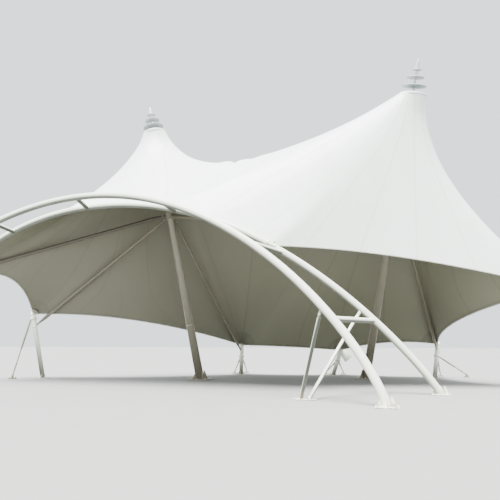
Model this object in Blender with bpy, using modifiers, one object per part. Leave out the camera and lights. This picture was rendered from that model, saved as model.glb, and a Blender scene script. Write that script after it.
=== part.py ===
"""Tensile membrane dome: a fabric canopy with two peaks behind a leaning ladder arch.

The origin is the foot of the left mast. +X runs along the arch, +Y to the back and +Z up, in metres.
"""
import math

import bmesh
import bpy
import numpy as np
from mathutils import Vector

GAP = 0.0004
GROUND = 0.002

# Entrance arch: two superelliptic tubes on one middle line, leaning together towards the crown
ARCH_MIDDLE_X = -2.51
FRONT_ARCH = {"half_span": 11.14, "height": 7.34, "foot_y": -7.6, "crown_y": -6.37,
              "wide": 2.01, "tall": 1.28, "sweep": 1.56}
REAR_ARCH = {"half_span": 12.83, "height": 7.27, "foot_y": -3.715, "crown_y": -5.30,
             "wide": 2.09, "tall": 1.11, "sweep": 1.47}
ARCH_POINTS = 41
ARCH_TUBE_RADIUS = 0.125
ARCH_PLATE = (0.62, 0.62, 0.035)
# Each rung's place on the front tube and on the rear tube, whose end sits low on the tube's side
RUNGS = ((-0.696, -0.670), (-0.472, -0.470), (-0.244, -0.237), (-0.016, -0.027), (0.212, 0.187),
         (0.440, 0.434), (0.684, 0.674))
RUNG_DROP = 0.05
RUNG_RADIUS = 0.09

# Props under each leg, from the two tubes down to one plate; X is measured from the arch's middle
PROP_RADIUS = 0.055
FRONT_PROP = {"tube_x": 9.43, "foot": (8.63, -6.52)}
REAR_PROP = {"tube_x": 10.41, "foot": (8.88, -6.57)}
PROP_PLATE = (0.70, 0.34, 0.03)

# Masts, with the collar that the struts run from
MASTS = {
    "left": {"foot": (0.0, 0.0, 0.0), "top": (-2.40, -1.24, 12.5), "collar": 0.642},
    "right": {"foot": (7.52, 3.20, 0.0), "top": (10.40, -1.24, 12.5), "collar": 0.66},
}
MAST_FOOT_RADIUS = 0.20
MAST_TOP_RADIUS = 0.14
MAST_PLATE = (0.95, 0.95, 0.04)
MAST_GUSSET = {"reach": 0.40, "height": 0.42, "thickness": 0.02}
COLLAR_RADIUS = 0.215
COLLAR_HEIGHT = 0.36

# Peak rings and finials, in heights above the mast head
RING_RADIUS = 0.57
RING_WALL = 0.03
RING_DEPTH = 0.14
RING_CROWN = ((0.0, 0.06), (0.14, 0.06), (0.40, 0.045), (0.54, 0.02))
# A spire over three dished discs, as (radius, height) down the outer side
FINIAL_PROFILE = (
    (0.0, 1.46), (0.045, 1.42), (0.08, 1.22), (0.105, 1.05),
    (0.20, 1.038), (0.20, 1.003), (0.08, 0.97), (0.08, 0.80), (0.14, 0.73),
    (0.375, 0.713), (0.375, 0.678), (0.06, 0.64), (0.05, 0.55), (0.10, 0.42), (0.22, 0.36),
    (0.525, 0.348), (0.525, 0.313), (0.10, 0.27), (0.055, 0.24), (0.055, 0.13), (0.11, 0.08),
)

# Struts from the mast collars
STRUT_RADIUS = 0.08
STRUT_TIP_RADIUS = 0.035
STRUT_TAPER = 0.30
STRUT_SEAT = (0.05, -0.07, -0.07)
ARCH_STRUTS = {"arch_left": -7.8, "arch_right": 4.75}
# Where each strut starts: up the mast from the collar's middle, and to the right
STRUT_STARTS = {
    "arch_left": (0.09, 0.0), "arch_right": (0.0, 0.0), "side_left": (0.0, 0.0),
    "back_left": (-0.03, 0.13), "back_right": (0.11, 0.0), "side_right": (0.11, 0.0),
}

# Edge posts, named for their place round the cloth, with how far down the strut and the stays are held
POSTS = {
    "side_left": {"drop": 0.64, "head": (-8.41, -1.94, 3.13), "foot": (-7.51, -1.85), "spike": 0.70,
                  "stay_drop": 0.22, "anchors": ((-8.97, -2.25), (-8.63, -2.61))},
    "back_left": {"drop": 0.40, "head": (0.64, 4.42, 1.62), "foot": (0.67, 4.19), "spike": 0.0,
                  "stay_drop": 0.64, "anchors": ((0.05, 4.94), (0.39, 6.10))},
    "back_mid": {"drop": 0.40, "head": (6.10, 5.59, 1.35), "foot": (5.68, 4.99), "spike": 0.0,
                 "stay_drop": 0.64, "anchors": ((5.19, 6.00), (6.09, 6.40))},
    "back_right": {"drop": 0.40, "head": (11.13, 5.00, 1.69), "foot": (10.79, 4.40), "spike": 0.0,
                   "stay_drop": 0.64, "anchors": ((11.24, 6.35), (12.44, 5.75))},
    "side_right": {"drop": 0.40, "head": (14.94, -0.90, 3.75), "foot": (14.39, -1.10), "spike": 0.0,
                   "stay_drop": 0.64, "anchors": ((16.09, -0.95), (16.09, -0.45))},
}
POST_RADIUS = 0.105
POST_PLATE = (0.44, 0.44, 0.03)
HEAD_RADIUS = 0.125
SPIKE_RADIUS = 0.035
CORNER_RADIUS = 0.28
CORNER_THICKNESS = 0.03
STAY_COLLAR_WALL = 0.045
STAY_COLLAR_HEIGHT = 0.12
STAY_RADIUS = 0.03
ANCHOR_PLATE = (0.26, 0.26, 0.025)

# Cloth: where it ends on the rear arch tube, the pull of each free edge, and the form-finding densities
HOLD_LEFT = -8.6
VALLEY = 3.0
HOLD_RIGHT = 7.3
CLAMP_WALL = 0.03
CLAMP_LENGTH = 0.40
EDGE_PULL = {
    "left": (1.18, -0.49, 1.07), "back_1": (0.35, -1.0, 0.45), "back_2": (0.0, -0.6, 0.05),
    "back_3": (0.0, -0.5, 0.25), "right": (-1.13, -0.2, 0.07), "front_right": (-0.33, 0.45, 0.465),
}
COLUMNS = {
    "valley": 8, "back_1": 10, "left": 8, "front_1": 12,
    "front_2": 6, "front_right": 12, "right": 10, "back_3": 6, "back_2": 6,
}
ROWS = 9
# The pull of the hoop links against that of the radial links, at the start and in the middle of each stretch
HOOP_PULL = {
    "left": {"valley": (0.035, 1.056), "back_1": (0.024, 13.06), "left": (1.261, 2.926),
             "front_1": (6.346, 1.534)},
    "right": {"front_2": (0.238, 0.014), "front_right": (0.105, 0.084), "right": (0.122, 0.029),
              "back_3": (0.491, 0.185), "back_2": (0.178, 0.118), "valley": (0.040, 0.003)},
}
NECK_PULL = {"left": 23.44, "right": 135.7}
VALLEY_PULL = 1.699
CLOTH_THICKNESS = 0.024

# Finishes: colour, roughness, metallic
ENAMEL = ((0.86, 0.87, 0.82, 1.0), 0.42, 0.0)
STAY_FINISH = ((0.62, 0.63, 0.60, 1.0), 0.40, 0.6)
CLOTH_FINISH = ((0.84, 0.86, 0.83, 1.0), 0.55, 0.0)


def clear_scene():
    for item in list(bpy.data.objects):
        bpy.data.objects.remove(item, do_unlink=True)


def new_collection(name):
    collection = bpy.data.collections.new(name)
    bpy.context.scene.collection.children.link(collection)
    return collection


def move_to(item, collection):
    for old in list(item.users_collection):
        old.objects.unlink(item)
    collection.objects.link(item)


def make_part(item, name, finish):
    """Name a finished piece, give it its own material and put it with the parts."""
    item.name = name
    item.data.name = name
    colour, roughness, metallic = finish
    material = bpy.data.materials.new(name)
    material.use_nodes = True
    shader = material.node_tree.nodes["Principled BSDF"]
    shader.inputs["Base Color"].default_value = colour
    shader.inputs["Roughness"].default_value = roughness
    shader.inputs["Metallic"].default_value = metallic
    item.data.materials.clear()
    item.data.materials.append(material)
    move_to(item, PARTS)
    return item


def make_tool(item, name):
    """Put a piece that only cuts or joins with the cutters."""
    item.name = name
    item.hide_render = True
    item.display_type = "WIRE"
    move_to(item, CUTTERS)
    return item


def boolean(item, tool, operation):
    modifier = item.modifiers.new(operation.lower(), "BOOLEAN")
    modifier.operation = operation
    modifier.solver = "EXACT"
    modifier.object = tool


def cut(item, *tools):
    for tool in tools:
        boolean(item, tool, "DIFFERENCE")


def join(item, *tools):
    for tool in tools:
        boolean(item, make_tool(tool, f"{item.name}_joined"), "UNION")


def smooth(item):
    item.data.shade_smooth()
    item.data.set_sharp_from_angle(angle=math.radians(35))


def turn_to(direction):
    return Vector(direction).to_track_quat("Z", "Y")


def rod(start, end, radius, end_radius=None, sides=12):
    """A straight round bar, or a cone where the two radii differ."""
    start = Vector(start)
    end = Vector(end)
    along = end - start
    bpy.ops.mesh.primitive_cone_add(
        vertices=sides, radius1=radius, radius2=radius if end_radius is None else end_radius,
        depth=along.length, location=(start + end) / 2, rotation=turn_to(along).to_euler())
    item = bpy.context.object
    smooth(item)
    return item


def box(size, location, turn=0.0):
    bpy.ops.mesh.primitive_cube_add(size=1, location=location, rotation=(0, 0, turn))
    item = bpy.context.object
    item.scale = size
    bpy.ops.object.transform_apply(location=False, rotation=False, scale=True)
    return item


def plate_on_ground(size, place, turn=0.0):
    return box(size, (place[0], place[1], size[2] / 2), turn)


def curve_to_mesh(curve):
    """Replace a curve object by its closed mesh."""
    item = bpy.data.objects.new("curve", curve)
    bpy.context.scene.collection.objects.link(item)
    bpy.context.view_layer.update()
    evaluated = item.evaluated_get(bpy.context.evaluated_depsgraph_get())
    mesh = bpy.data.meshes.new_from_object(evaluated)
    shape = bmesh.new()
    shape.from_mesh(mesh)
    bmesh.ops.remove_doubles(shape, verts=shape.verts, dist=0.0001)
    shape.to_mesh(mesh)
    shape.free()
    result = bpy.data.objects.new("mesh", mesh)
    result.matrix_world = item.matrix_world
    bpy.context.scene.collection.objects.link(result)
    bpy.data.objects.remove(item)
    return result


def tube(points, radius):
    curve = bpy.data.curves.new("tube", "CURVE")
    curve.dimensions = "3D"
    curve.bevel_depth = radius
    curve.bevel_resolution = 4
    curve.use_fill_caps = True
    line = curve.splines.new("POLY")
    line.points.add(len(points) - 1)
    for place, point in zip(line.points, points):
        place.co = (*point, 1.0)
    item = curve_to_mesh(curve)
    smooth(item)
    return item


def flat_plate(outline, thickness, corner, across, normal):
    """A plate with the given outline, whose first axis runs along `across` in the plane of `normal`."""
    curve = bpy.data.curves.new("plate", "CURVE")
    curve.dimensions = "2D"
    curve.fill_mode = "BOTH"
    curve.extrude = thickness / 2
    line = curve.splines.new("POLY")
    line.points.add(len(outline) - 1)
    line.use_cyclic_u = True
    for place, point in zip(line.points, outline):
        place.co = (*point, 0.0, 1.0)
    item = curve_to_mesh(curve)
    third = Vector(normal).normalized()
    first = Vector(across).normalized()
    second = third.cross(first)
    matrix = item.matrix_world.copy()
    for row in range(3):
        matrix[row][0] = first[row]
        matrix[row][1] = second[row]
        matrix[row][2] = third[row]
        matrix[row][3] = corner[row]
    item.matrix_world = matrix
    return item


def turned(profile, place, direction, sides):
    """A solid turned about its own Z from a profile that runs down its outer side."""
    mesh = bpy.data.meshes.new("profile")
    edges = [(i, i + 1) for i in range(len(profile) - 1)]
    mesh.from_pydata([(radius, 0.0, height) for radius, height in profile], edges, [])
    item = bpy.data.objects.new("turned", mesh)
    bpy.context.scene.collection.objects.link(item)
    screw = item.modifiers.new("turn", "SCREW")
    screw.steps = sides
    screw.render_steps = sides
    screw.use_merge_vertices = True
    screw.merge_threshold = 0.0001
    item.location = place
    item.rotation_mode = "QUATERNION"
    item.rotation_quaternion = turn_to(direction)
    return item


# Arch
def arch_point(arch, x):
    """A point on an arch tube's axis, X metres from the arch's middle."""
    share = min(abs(x) / arch["half_span"], 1.0)
    height = arch["height"] * (1 - share ** arch["wide"]) ** (1 / arch["tall"])
    y = arch["foot_y"] + (arch["crown_y"] - arch["foot_y"]) * height / arch["height"]
    return Vector((ARCH_MIDDLE_X + x, y, height))


def arch_place(arch, place):
    """A point on an arch tube's axis, at a place from -1 at the left foot to 1 at the right foot."""
    return arch_point(arch, arch["half_span"] * math.sin(place * arch["sweep"]) / math.sin(arch["sweep"]))


def arch_axis(arch):
    points = [arch_place(arch, place) for place in np.linspace(-1, 1, ARCH_POINTS)]
    first = points[0] + (points[0] - points[1]).normalized() * 0.15
    last = points[-1] + (points[-1] - points[-2]).normalized() * 0.15
    return [first, *points, last]


def arch_tube(name, arch, ground):
    item = tube(arch_axis(arch), ARCH_TUBE_RADIUS)
    make_part(item, name, ENAMEL)
    cut(item, ground)
    for side in (-1, 1):
        foot = (ARCH_MIDDLE_X + side * arch["half_span"], arch["foot_y"])
        join(item, plate_on_ground(ARCH_PLATE, foot))


def arch_rungs(cutters):
    for number, (front_place, rear_place) in enumerate(RUNGS, 1):
        end = arch_place(REAR_ARCH, rear_place) - Vector((0.0, 0.0, RUNG_DROP))
        item = rod(arch_place(FRONT_ARCH, front_place), end, RUNG_RADIUS)
        make_part(item, f"arch_rung_{number}", ENAMEL)
        cut(item, *cutters)


def arch_props(side, name, cutters, ground):
    """One pair of props with the plate they share."""
    bars = []
    for arch, prop in ((FRONT_ARCH, FRONT_PROP), (REAR_ARCH, REAR_PROP)):
        top = arch_point(arch, side * prop["tube_x"])
        foot = Vector((ARCH_MIDDLE_X + side * prop["foot"][0], prop["foot"][1], 0.0))
        below = foot + (foot - top).normalized() * 0.1
        bars.append(rod(below, top, PROP_RADIUS))
    item = make_part(bars[0], name, ENAMEL)
    middle = (ARCH_MIDDLE_X + side * (FRONT_PROP["foot"][0] + REAR_PROP["foot"][0]) / 2,
              (FRONT_PROP["foot"][1] + REAR_PROP["foot"][1]) / 2)
    cut(item, ground)
    cut(bars[1], ground)
    join(item, plate_on_ground(PROP_PLATE, middle), bars[1])
    cut(item, *cutters)


# Masts and what they carry
def mast_axis(side):
    foot = Vector(MASTS[side]["foot"])
    top = Vector(MASTS[side]["top"])
    return foot, top, (top - foot).normalized()


def collar_place(side):
    foot, top, _ = mast_axis(side)
    return foot.lerp(top, MASTS[side]["collar"])


def mast_collar(side, grow):
    _, _, axis = mast_axis(side)
    middle = collar_place(side)
    reach = axis * (COLLAR_HEIGHT / 2 + grow)
    return rod(middle - reach, middle + reach, COLLAR_RADIUS + grow, sides=16)


def mast_shaft(side, grow):
    foot, top, axis = mast_axis(side)
    below = foot - axis * 0.3
    return rod(below, top - axis * GAP, MAST_FOOT_RADIUS + grow, MAST_TOP_RADIUS + grow, sides=16)


def mast(side, ground):
    foot = Vector(MASTS[side]["foot"])
    item = make_part(mast_shaft(side, 0.0), f"mast_{side}", ENAMEL)
    cut(item, ground)
    gussets = []
    reach = MAST_GUSSET["reach"]
    height = MAST_GUSSET["height"]
    outline = ((0.0, 0.01), (reach, 0.01), (reach, 0.07), (0.19, height), (0.0, height))
    for quarter in range(4):
        angle = math.radians(45 + 90 * quarter)
        across = (math.cos(angle), math.sin(angle), 0.0)
        normal = (math.sin(angle), -math.cos(angle), 0.0)
        gussets.append(flat_plate(outline, MAST_GUSSET["thickness"], foot, across, normal))
    join(item, plate_on_ground(MAST_PLATE, foot), *gussets, mast_collar(side, 0.0))


def peak_ring(side):
    _, top, axis = mast_axis(side)
    inner = RING_RADIUS - RING_WALL
    rim = ((RING_RADIUS, -0.01), (RING_RADIUS, -RING_DEPTH), (inner, -RING_DEPTH), (inner, 0.0), (0.0, 0.0))
    make_part(turned(RING_CROWN + rim, top, axis, 32), f"peak_ring_{side}", ENAMEL)


def ring_cutter(side):
    _, top, axis = mast_axis(side)
    radius = RING_RADIUS + GAP
    profile = ((0.0, 0.25), (radius, 0.25), (radius, -RING_DEPTH - GAP), (0.0, -RING_DEPTH - GAP))
    return make_tool(turned(profile, top, axis, 32), f"ring_cutter_{side}")


def finial(side):
    _, top, axis = mast_axis(side)
    crown = RING_CROWN[0][1] + GAP
    foot = ((0.12, crown), (0.0, crown))
    make_part(turned(FINIAL_PROFILE + foot, top, axis, 20), f"finial_{side}", ENAMEL)


# Struts
def strut_start(side, name):
    """The place inside a mast's collar that a strut's axis starts from."""
    _, _, axis = mast_axis(side)
    rise, aside = STRUT_STARTS[name]
    return collar_place(side) + axis * rise + Vector((aside, 0.0, 0.0))


def strut(name, start, end, cutters):
    """A tube with conical ends, cut back to the surfaces that it meets."""
    along = Vector(end) - Vector(start)
    length = along.length
    profile = ((0.0, length), (STRUT_TIP_RADIUS, length), (STRUT_RADIUS, length - STRUT_TAPER - 0.15),
               (STRUT_RADIUS, STRUT_TAPER + 0.15), (STRUT_TIP_RADIUS, 0.0), (0.0, 0.0))
    item = make_part(turned(profile, start, along, 12), name, ENAMEL)
    cut(item, *cutters)


def post_point(name, drop):
    """A point on a post's axis, that far down from its head."""
    head = Vector(POSTS[name]["head"])
    foot = Vector((*POSTS[name]["foot"], 0.0))
    return head + (foot - head).normalized() * drop


# Posts and stays
def edge_directions():
    """Unit directions of the two free edges that leave each corner of the cloth."""
    corners = {}
    for names, points in free_edges():
        for name, near, far in ((names[0], points[0], points[1]), (names[1], points[-1], points[-2])):
            corners.setdefault(name, []).append(Vector(far - near).normalized())
    return corners


def corner_plate(place, first, second):
    """A fan plate between two edges of the cloth, rounded at the radius where the cloth starts."""
    normal = first.cross(second).normalized()
    if normal.z < 0:
        first, second = second, first
        normal = -normal
    opening = first.angle(second)
    reach = CORNER_RADIUS * 1.8
    outline = ((-0.05, -0.05), (reach, -0.05), (reach * math.cos(opening / 2), reach * math.sin(opening / 2)),
               (reach * math.cos(opening), reach * math.sin(opening)))
    item = flat_plate(outline, CORNER_THICKNESS, place, first, normal)
    ball = make_tool(corner_ball(place, 0.0), "corner_ball")
    boolean(item, ball, "INTERSECT")
    return item


def corner_ball(place, grow):
    bpy.ops.mesh.primitive_uv_sphere_add(segments=24, ring_count=12, radius=CORNER_RADIUS + grow, location=place)
    return bpy.context.object


def post(name, corners, ground):
    data = POSTS[name]
    head = Vector(data["head"])
    foot = Vector((*data["foot"], 0.0))
    axis = (head - foot).normalized()
    item = rod(foot - axis * 0.15, head, POST_RADIUS)
    make_part(item, f"post_{name}", ENAMEL)
    cut(item, ground)
    bpy.ops.mesh.primitive_uv_sphere_add(segments=12, ring_count=6, radius=HEAD_RADIUS, location=head)
    knob = bpy.context.object
    join(item, plate_on_ground(POST_PLATE, foot), knob, corner_plate(head, *corners[name]))
    if data["spike"]:
        join(item, rod(head, head + axis * data["spike"], SPIKE_RADIUS, 0.006, sides=8))


def post_cutter(name):
    head = Vector(POSTS[name]["head"])
    foot = Vector((*POSTS[name]["foot"], 0.0))
    axis = (head - foot).normalized()
    return make_tool(rod(foot - axis * 0.15, head, POST_RADIUS + GAP), f"post_cutter_{name}")


def stays(name, cutter, ground):
    """Two tie rods on one collar round the post, each with its plate on the ground."""
    middle = post_point(name, POSTS[name]["stay_drop"])
    axis = (post_point(name, 0.0) - post_point(name, 1.0)).normalized()
    half = axis * STAY_COLLAR_HEIGHT / 2
    item = rod(middle - half, middle + half, POST_RADIUS + STAY_COLLAR_WALL)
    make_part(item, f"stays_{name}", STAY_FINISH)
    for anchor in POSTS[name]["anchors"]:
        foot = Vector((*anchor, 0.0))
        away = foot - middle
        away -= axis * away.dot(axis)
        top = middle + away.normalized() * (POST_RADIUS + STAY_COLLAR_WALL / 2)
        below = foot + (foot - top).normalized() * 0.05
        bar = rod(below, top, STAY_RADIUS, sides=8)
        cut(bar, ground)
        join(item, bar, plate_on_ground(ANCHOR_PLATE, anchor))
    cut(item, cutter)


# Cloth
def bow(start, end, pull, steps):
    """Points along a free edge that hangs in by the vector pull at its middle."""
    share = np.linspace(0, 1, steps + 1)[:, None]
    return (1 - share) * start + share * end + 4 * share * (1 - share) * np.array(pull)


def arch_run(start, end, steps):
    return np.array([arch_point(REAR_ARCH, x) for x in np.linspace(start, end, steps + 1)])


def cloth_points():
    points = {name: np.array(data["head"]) for name, data in POSTS.items()}
    points["hold_left"] = np.array(arch_point(REAR_ARCH, HOLD_LEFT))
    points["hold_right"] = np.array(arch_point(REAR_ARCH, HOLD_RIGHT))
    points["valley"] = np.array(arch_point(REAR_ARCH, VALLEY))
    return points


FREE_EDGES = (
    ("back_1", "back_left", "side_left"), ("left", "side_left", "hold_left"),
    ("front_right", "hold_right", "side_right"), ("right", "side_right", "back_right"),
    ("back_3", "back_right", "back_mid"), ("back_2", "back_mid", "back_left"),
)


def free_edge(name):
    points = cloth_points()
    for edge, start, end in FREE_EDGES:
        if edge == name:
            return bow(points[start], points[end], EDGE_PULL[edge], COLUMNS[edge])
    return None


def free_edges():
    """Each free edge as the names of its two ends and its points."""
    return [((start, end), free_edge(edge)) for edge, start, end in FREE_EDGES]


def cloth_loops():
    """The boundary of each peak's cloth, anticlockwise from above, as named stretches of points."""
    points = cloth_points()
    share = np.linspace(0, 1, COLUMNS["valley"] + 1)[:, None]
    valley = (1 - share) * points["valley"] + share * points["back_left"]
    left = [("valley", valley), ("back_1", free_edge("back_1")), ("left", free_edge("left")),
            ("front_1", arch_run(HOLD_LEFT, VALLEY, COLUMNS["front_1"]))]
    right = [("front_2", arch_run(VALLEY, HOLD_RIGHT, COLUMNS["front_2"])),
             ("front_right", free_edge("front_right")), ("right", free_edge("right")),
             ("back_3", free_edge("back_3")), ("back_2", free_edge("back_2")), ("valley", valley[::-1])]
    return {"left": left, "right": right}


def ring_points(side, loop):
    """Where the line from each boundary point meets the peak ring."""
    _, top, axis = mast_axis(side)
    top = np.array(top)
    axis = np.array(axis)
    first = np.cross((0.0, 1.0, 0.0), axis)
    first /= np.linalg.norm(first)
    second = np.cross(axis, first)
    away = loop - top
    angles = np.unwrap(np.arctan2(away[:, 1], away[:, 0]))
    even = angles[0] + np.arange(len(loop)) * 2 * math.pi / len(loop)
    angles = (angles + even - np.mean(even - angles)) / 2
    ring = np.cos(angles)[:, None] * first + np.sin(angles)[:, None] * second
    return top + RING_RADIUS * ring


def relax(points, fixed, links, pulls):
    """Move the free points to where the links' pulls balance."""
    count = len(points)
    stiffness = np.zeros((count, count))
    ends_a, ends_b = np.array(links).T
    pulls = np.array(pulls)
    np.add.at(stiffness, (ends_a, ends_a), pulls)
    np.add.at(stiffness, (ends_b, ends_b), pulls)
    np.add.at(stiffness, (ends_a, ends_b), -pulls)
    np.add.at(stiffness, (ends_b, ends_a), -pulls)
    free = ~fixed
    load = -stiffness[np.ix_(free, fixed)] @ points[fixed]
    points[free] = np.linalg.solve(stiffness[np.ix_(free, free)], load)
    return points


def lay_out_grids():
    """Number the net's points for both peaks; the valley's points belong to both."""
    points = []
    fixed = []
    grids = {}
    valley = {}
    for side, stretches in cloth_loops().items():
        loop = np.vstack([stretch[:-1] for _, stretch in stretches])
        ring = ring_points(side, loop)
        count = len(loop)
        steps = COLUMNS["valley"]
        grid = np.zeros((count, ROWS + 1), int)
        for column in range(count):
            key = column if side == "left" else (count - column) % count
            on_valley = key <= steps
            for row in range(ROWS + 1):
                if row == ROWS and on_valley and key in valley:
                    grid[column, row] = valley[key]
                    continue
                if row == ROWS and on_valley:
                    valley[key] = len(points)
                grid[column, row] = len(points)
                share = row / ROWS
                points.append(ring[column] * (1 - share) + loop[column] * share)
                fixed.append(row == 0 or (row == ROWS and not (on_valley and 0 < key < steps)))
        grids[side] = grid
    return np.array(points), np.array(fixed), grids, valley


def hoop_pulls(side):
    """The pull of each hoop link, blended between the stated places on the boundary."""
    places = []
    values = []
    count = 0
    for name, points in cloth_loops()[side]:
        places += [count, count + (len(points) - 1) / 2]
        values += list(HOOP_PULL[side][name])
        count += len(points) - 1
    return np.exp(np.interp(np.arange(count) + 0.5, places + [count], np.log(values + values[:1])))


def cloth_net():
    """The relaxed net of both peaks: its points and one grid of point numbers for each peak."""
    points, fixed, grids, valley = lay_out_grids()
    steps = COLUMNS["valley"]
    links = [(valley[step], valley[step + 1]) for step in range(steps)]
    pulls = [VALLEY_PULL * ((step + 0.5) / steps) ** 3 for step in range(steps)]
    for side, grid in grids.items():
        around = np.roll(grid, -1, axis=0)
        for row in range(ROWS):
            links += list(zip(grid[:, row], grid[:, row + 1]))
            pulls += [1.0] * len(grid)
        for row in range(1, ROWS):
            links += list(zip(grid[:, row], around[:, row]))
            pulls += list(hoop_pulls(side) * (1 + NECK_PULL[side] * (1 - row / ROWS) ** 4))
    return relax(points, fixed, links, pulls), grids


def point_normals(points, grids):
    """Upward normals at the net's points, shared across both peaks."""
    normals = np.zeros_like(points)
    for grid in grids.values():
        around = np.roll(grid, -1, axis=0)
        for row in range(ROWS):
            corners = (grid[:, row], grid[:, row + 1], around[:, row + 1], around[:, row])
            spread = np.cross(points[corners[2]] - points[corners[0]], points[corners[3]] - points[corners[1]])
            for corner in corners:
                np.add.at(normals, corner, spread)
    normals /= np.linalg.norm(normals, axis=1)[:, None]
    return normals


def panel_sheet(points, grid, columns, valley):
    """The points of one sector, with its seams drawn in by the gap and its top inside the ring."""
    sheet = points[grid[columns]].copy()
    for seam, beside in ((0, 1), (-1, -2)):
        inwards = sheet[beside] - sheet[seam]
        sheet[seam] += GAP * inwards / np.linalg.norm(inwards, axis=1)[:, None]
    if valley:
        inwards = sheet[:, -2] - sheet[:, -1]
        sheet[:, -1] += GAP * inwards / np.linalg.norm(inwards, axis=1)[:, None]
    return sheet


def solid_sheet(sheet, normals, thickness):
    """A closed solid of even thickness round a grid of points."""
    columns, rows = sheet.shape[:2]
    upper = sheet + normals * thickness / 2
    lower = sheet - normals * thickness / 2
    places = np.vstack([upper.reshape(-1, 3), lower.reshape(-1, 3)])
    below = columns * rows

    def at(column, row):
        return column * rows + row

    faces = []
    for column in range(columns - 1):
        for row in range(rows - 1):
            near, out = at(column, row), at(column, row + 1)
            beyond, beside = at(column + 1, row + 1), at(column + 1, row)
            for face in ((near, out, beyond), (near, beyond, beside)):
                faces.append(face)
                faces.append(tuple(corner + below for corner in reversed(face)))
    rim = [at(column, 0) for column in range(columns)]
    rim += [at(columns - 1, row) for row in range(1, rows)]
    rim += [at(column, rows - 1) for column in range(columns - 2, -1, -1)]
    rim += [at(0, row) for row in range(rows - 2, 0, -1)]
    for start, end in zip(rim, rim[1:] + rim[:1]):
        # Neighbouring panels share their seam, so its diagonals run down from the higher point in both
        if places[start][2] > places[end][2]:
            faces += [(start, end, end + below), (start, end + below, start + below)]
        else:
            faces += [(start, end, start + below), (end, end + below, start + below)]
    mesh = bpy.data.meshes.new("cloth")
    mesh.from_pydata([tuple(place) for place in places], [], faces)
    mesh.update()
    item = bpy.data.objects.new("cloth", mesh)
    bpy.context.scene.collection.objects.link(item)
    return item


PANELS = {
    "left": {"valley": ("valley",), "back": ("back_1",), "side": ("left",), "front": ("front_1",)},
    "right": {"front": ("front_2",), "edge": ("front_right",), "side": ("right",), "back": ("back_3", "back_2"),
              "valley": ("valley",)},
}


def membrane(rings, tube_cutter, balls):
    points, grids = cloth_net()
    normals = point_normals(points, grids)
    for side, panels in PANELS.items():
        grid = grids[side]
        _, top, _ = mast_axis(side)
        start = 0
        for name, stretches in panels.items():
            count = sum(COLUMNS[stretch] for stretch in stretches)
            columns = np.arange(start, start + count + 1) % len(grid)
            sheet = panel_sheet(points, grid, columns, name == "valley")
            towards = np.array(top) - sheet[:, 0]
            sheet[:, 0] += 0.015 * towards / np.linalg.norm(towards, axis=1)[:, None]
            item = solid_sheet(sheet, normals[grid[columns]], CLOTH_THICKNESS)
            smooth(item)
            make_part(item, f"membrane_{side}_{name}", CLOTH_FINISH)
            cut(item, rings[side], tube_cutter, *balls)
            start += count


def arch_clamp(side, place, run, edge, tube_cutter):
    """A clamp round the rear tube with the plate that the cloth's end is held by."""
    middle = arch_point(REAR_ARCH, place)
    along = (arch_point(REAR_ARCH, place + 0.1) - arch_point(REAR_ARCH, place - 0.1)).normalized()
    half = along * CLAMP_LENGTH / 2
    item = rod(middle - half, middle + half, ARCH_TUBE_RADIUS + CLAMP_WALL)
    make_part(item, f"arch_clamp_{side}", ENAMEL)
    join(item, corner_plate(middle, (along * run + edge * 0.35).normalized(), edge))
    cut(item, tube_cutter)


def build():
    ground = make_tool(box((44.0, 26.0, 1.0), (0.0, 0.0, GROUND - 0.5)), "ground_cutter")
    arch_tube("arch_tube_front", FRONT_ARCH, ground)
    arch_tube("arch_tube_rear", REAR_ARCH, ground)
    front_cutter = make_tool(tube(arch_axis(FRONT_ARCH), ARCH_TUBE_RADIUS + GAP), "front_tube_cutter")
    rear_cutter = make_tool(tube(arch_axis(REAR_ARCH), ARCH_TUBE_RADIUS + GAP), "rear_tube_cutter")
    arch_rungs((front_cutter, rear_cutter))
    for name, side in (("arch_prop_left", -1), ("arch_prop_right", 1)):
        arch_props(side, name, (front_cutter, rear_cutter), ground)

    rings = {}
    collars = {}
    for side in MASTS:
        mast(side, ground)
        peak_ring(side)
        finial(side)
        rings[side] = ring_cutter(side)
        collars[side] = (make_tool(mast_collar(side, GAP), f"collar_cutter_{side}"),
                         make_tool(mast_shaft(side, GAP), f"shaft_cutter_{side}"))

    corners = edge_directions()
    post_cutters = {}
    for name in POSTS:
        post(name, corners, ground)
        post_cutters[name] = post_cutter(name)
        stays(name, post_cutters[name], ground)

    for name, place in ARCH_STRUTS.items():
        end = arch_point(REAR_ARCH, place) + Vector(STRUT_SEAT)
        strut(f"strut_left_{name}", strut_start("left", name), end, (*collars["left"], rear_cutter))
    for side, name in (("left", "side_left"), ("left", "back_left"), ("right", "back_right"),
                       ("right", "side_right")):
        title = f"strut_{side}_{name.split('_')[0]}"
        end = post_point(name, POSTS[name]["drop"])
        strut(title, strut_start(side, name), end, (*collars[side], post_cutters[name]))

    holds = (("left", HOLD_LEFT, 1, "hold_left"), ("right", HOLD_RIGHT, -1, "hold_right"))
    balls = []
    for side, place, run, name in holds:
        arch_clamp(side, place, run, corners[name][0], rear_cutter)
        balls.append(make_tool(corner_ball(arch_point(REAR_ARCH, place), GAP), f"ball_cutter_{name}"))
    for name, data in POSTS.items():
        balls.append(make_tool(corner_ball(data["head"], GAP), f"ball_cutter_{name}"))
    membrane(rings, rear_cutter, balls)


clear_scene()
PARTS = new_collection("tensile_membrane_dome")
CUTTERS = new_collection("cutters")
build()
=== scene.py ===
"""Looks of the tensile membrane dome: its cloth, peaks, arch, masts, struts, posts and stays."""
import functools
import math

import bpy
import numpy as np
from mathutils import Matrix, Vector


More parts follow.
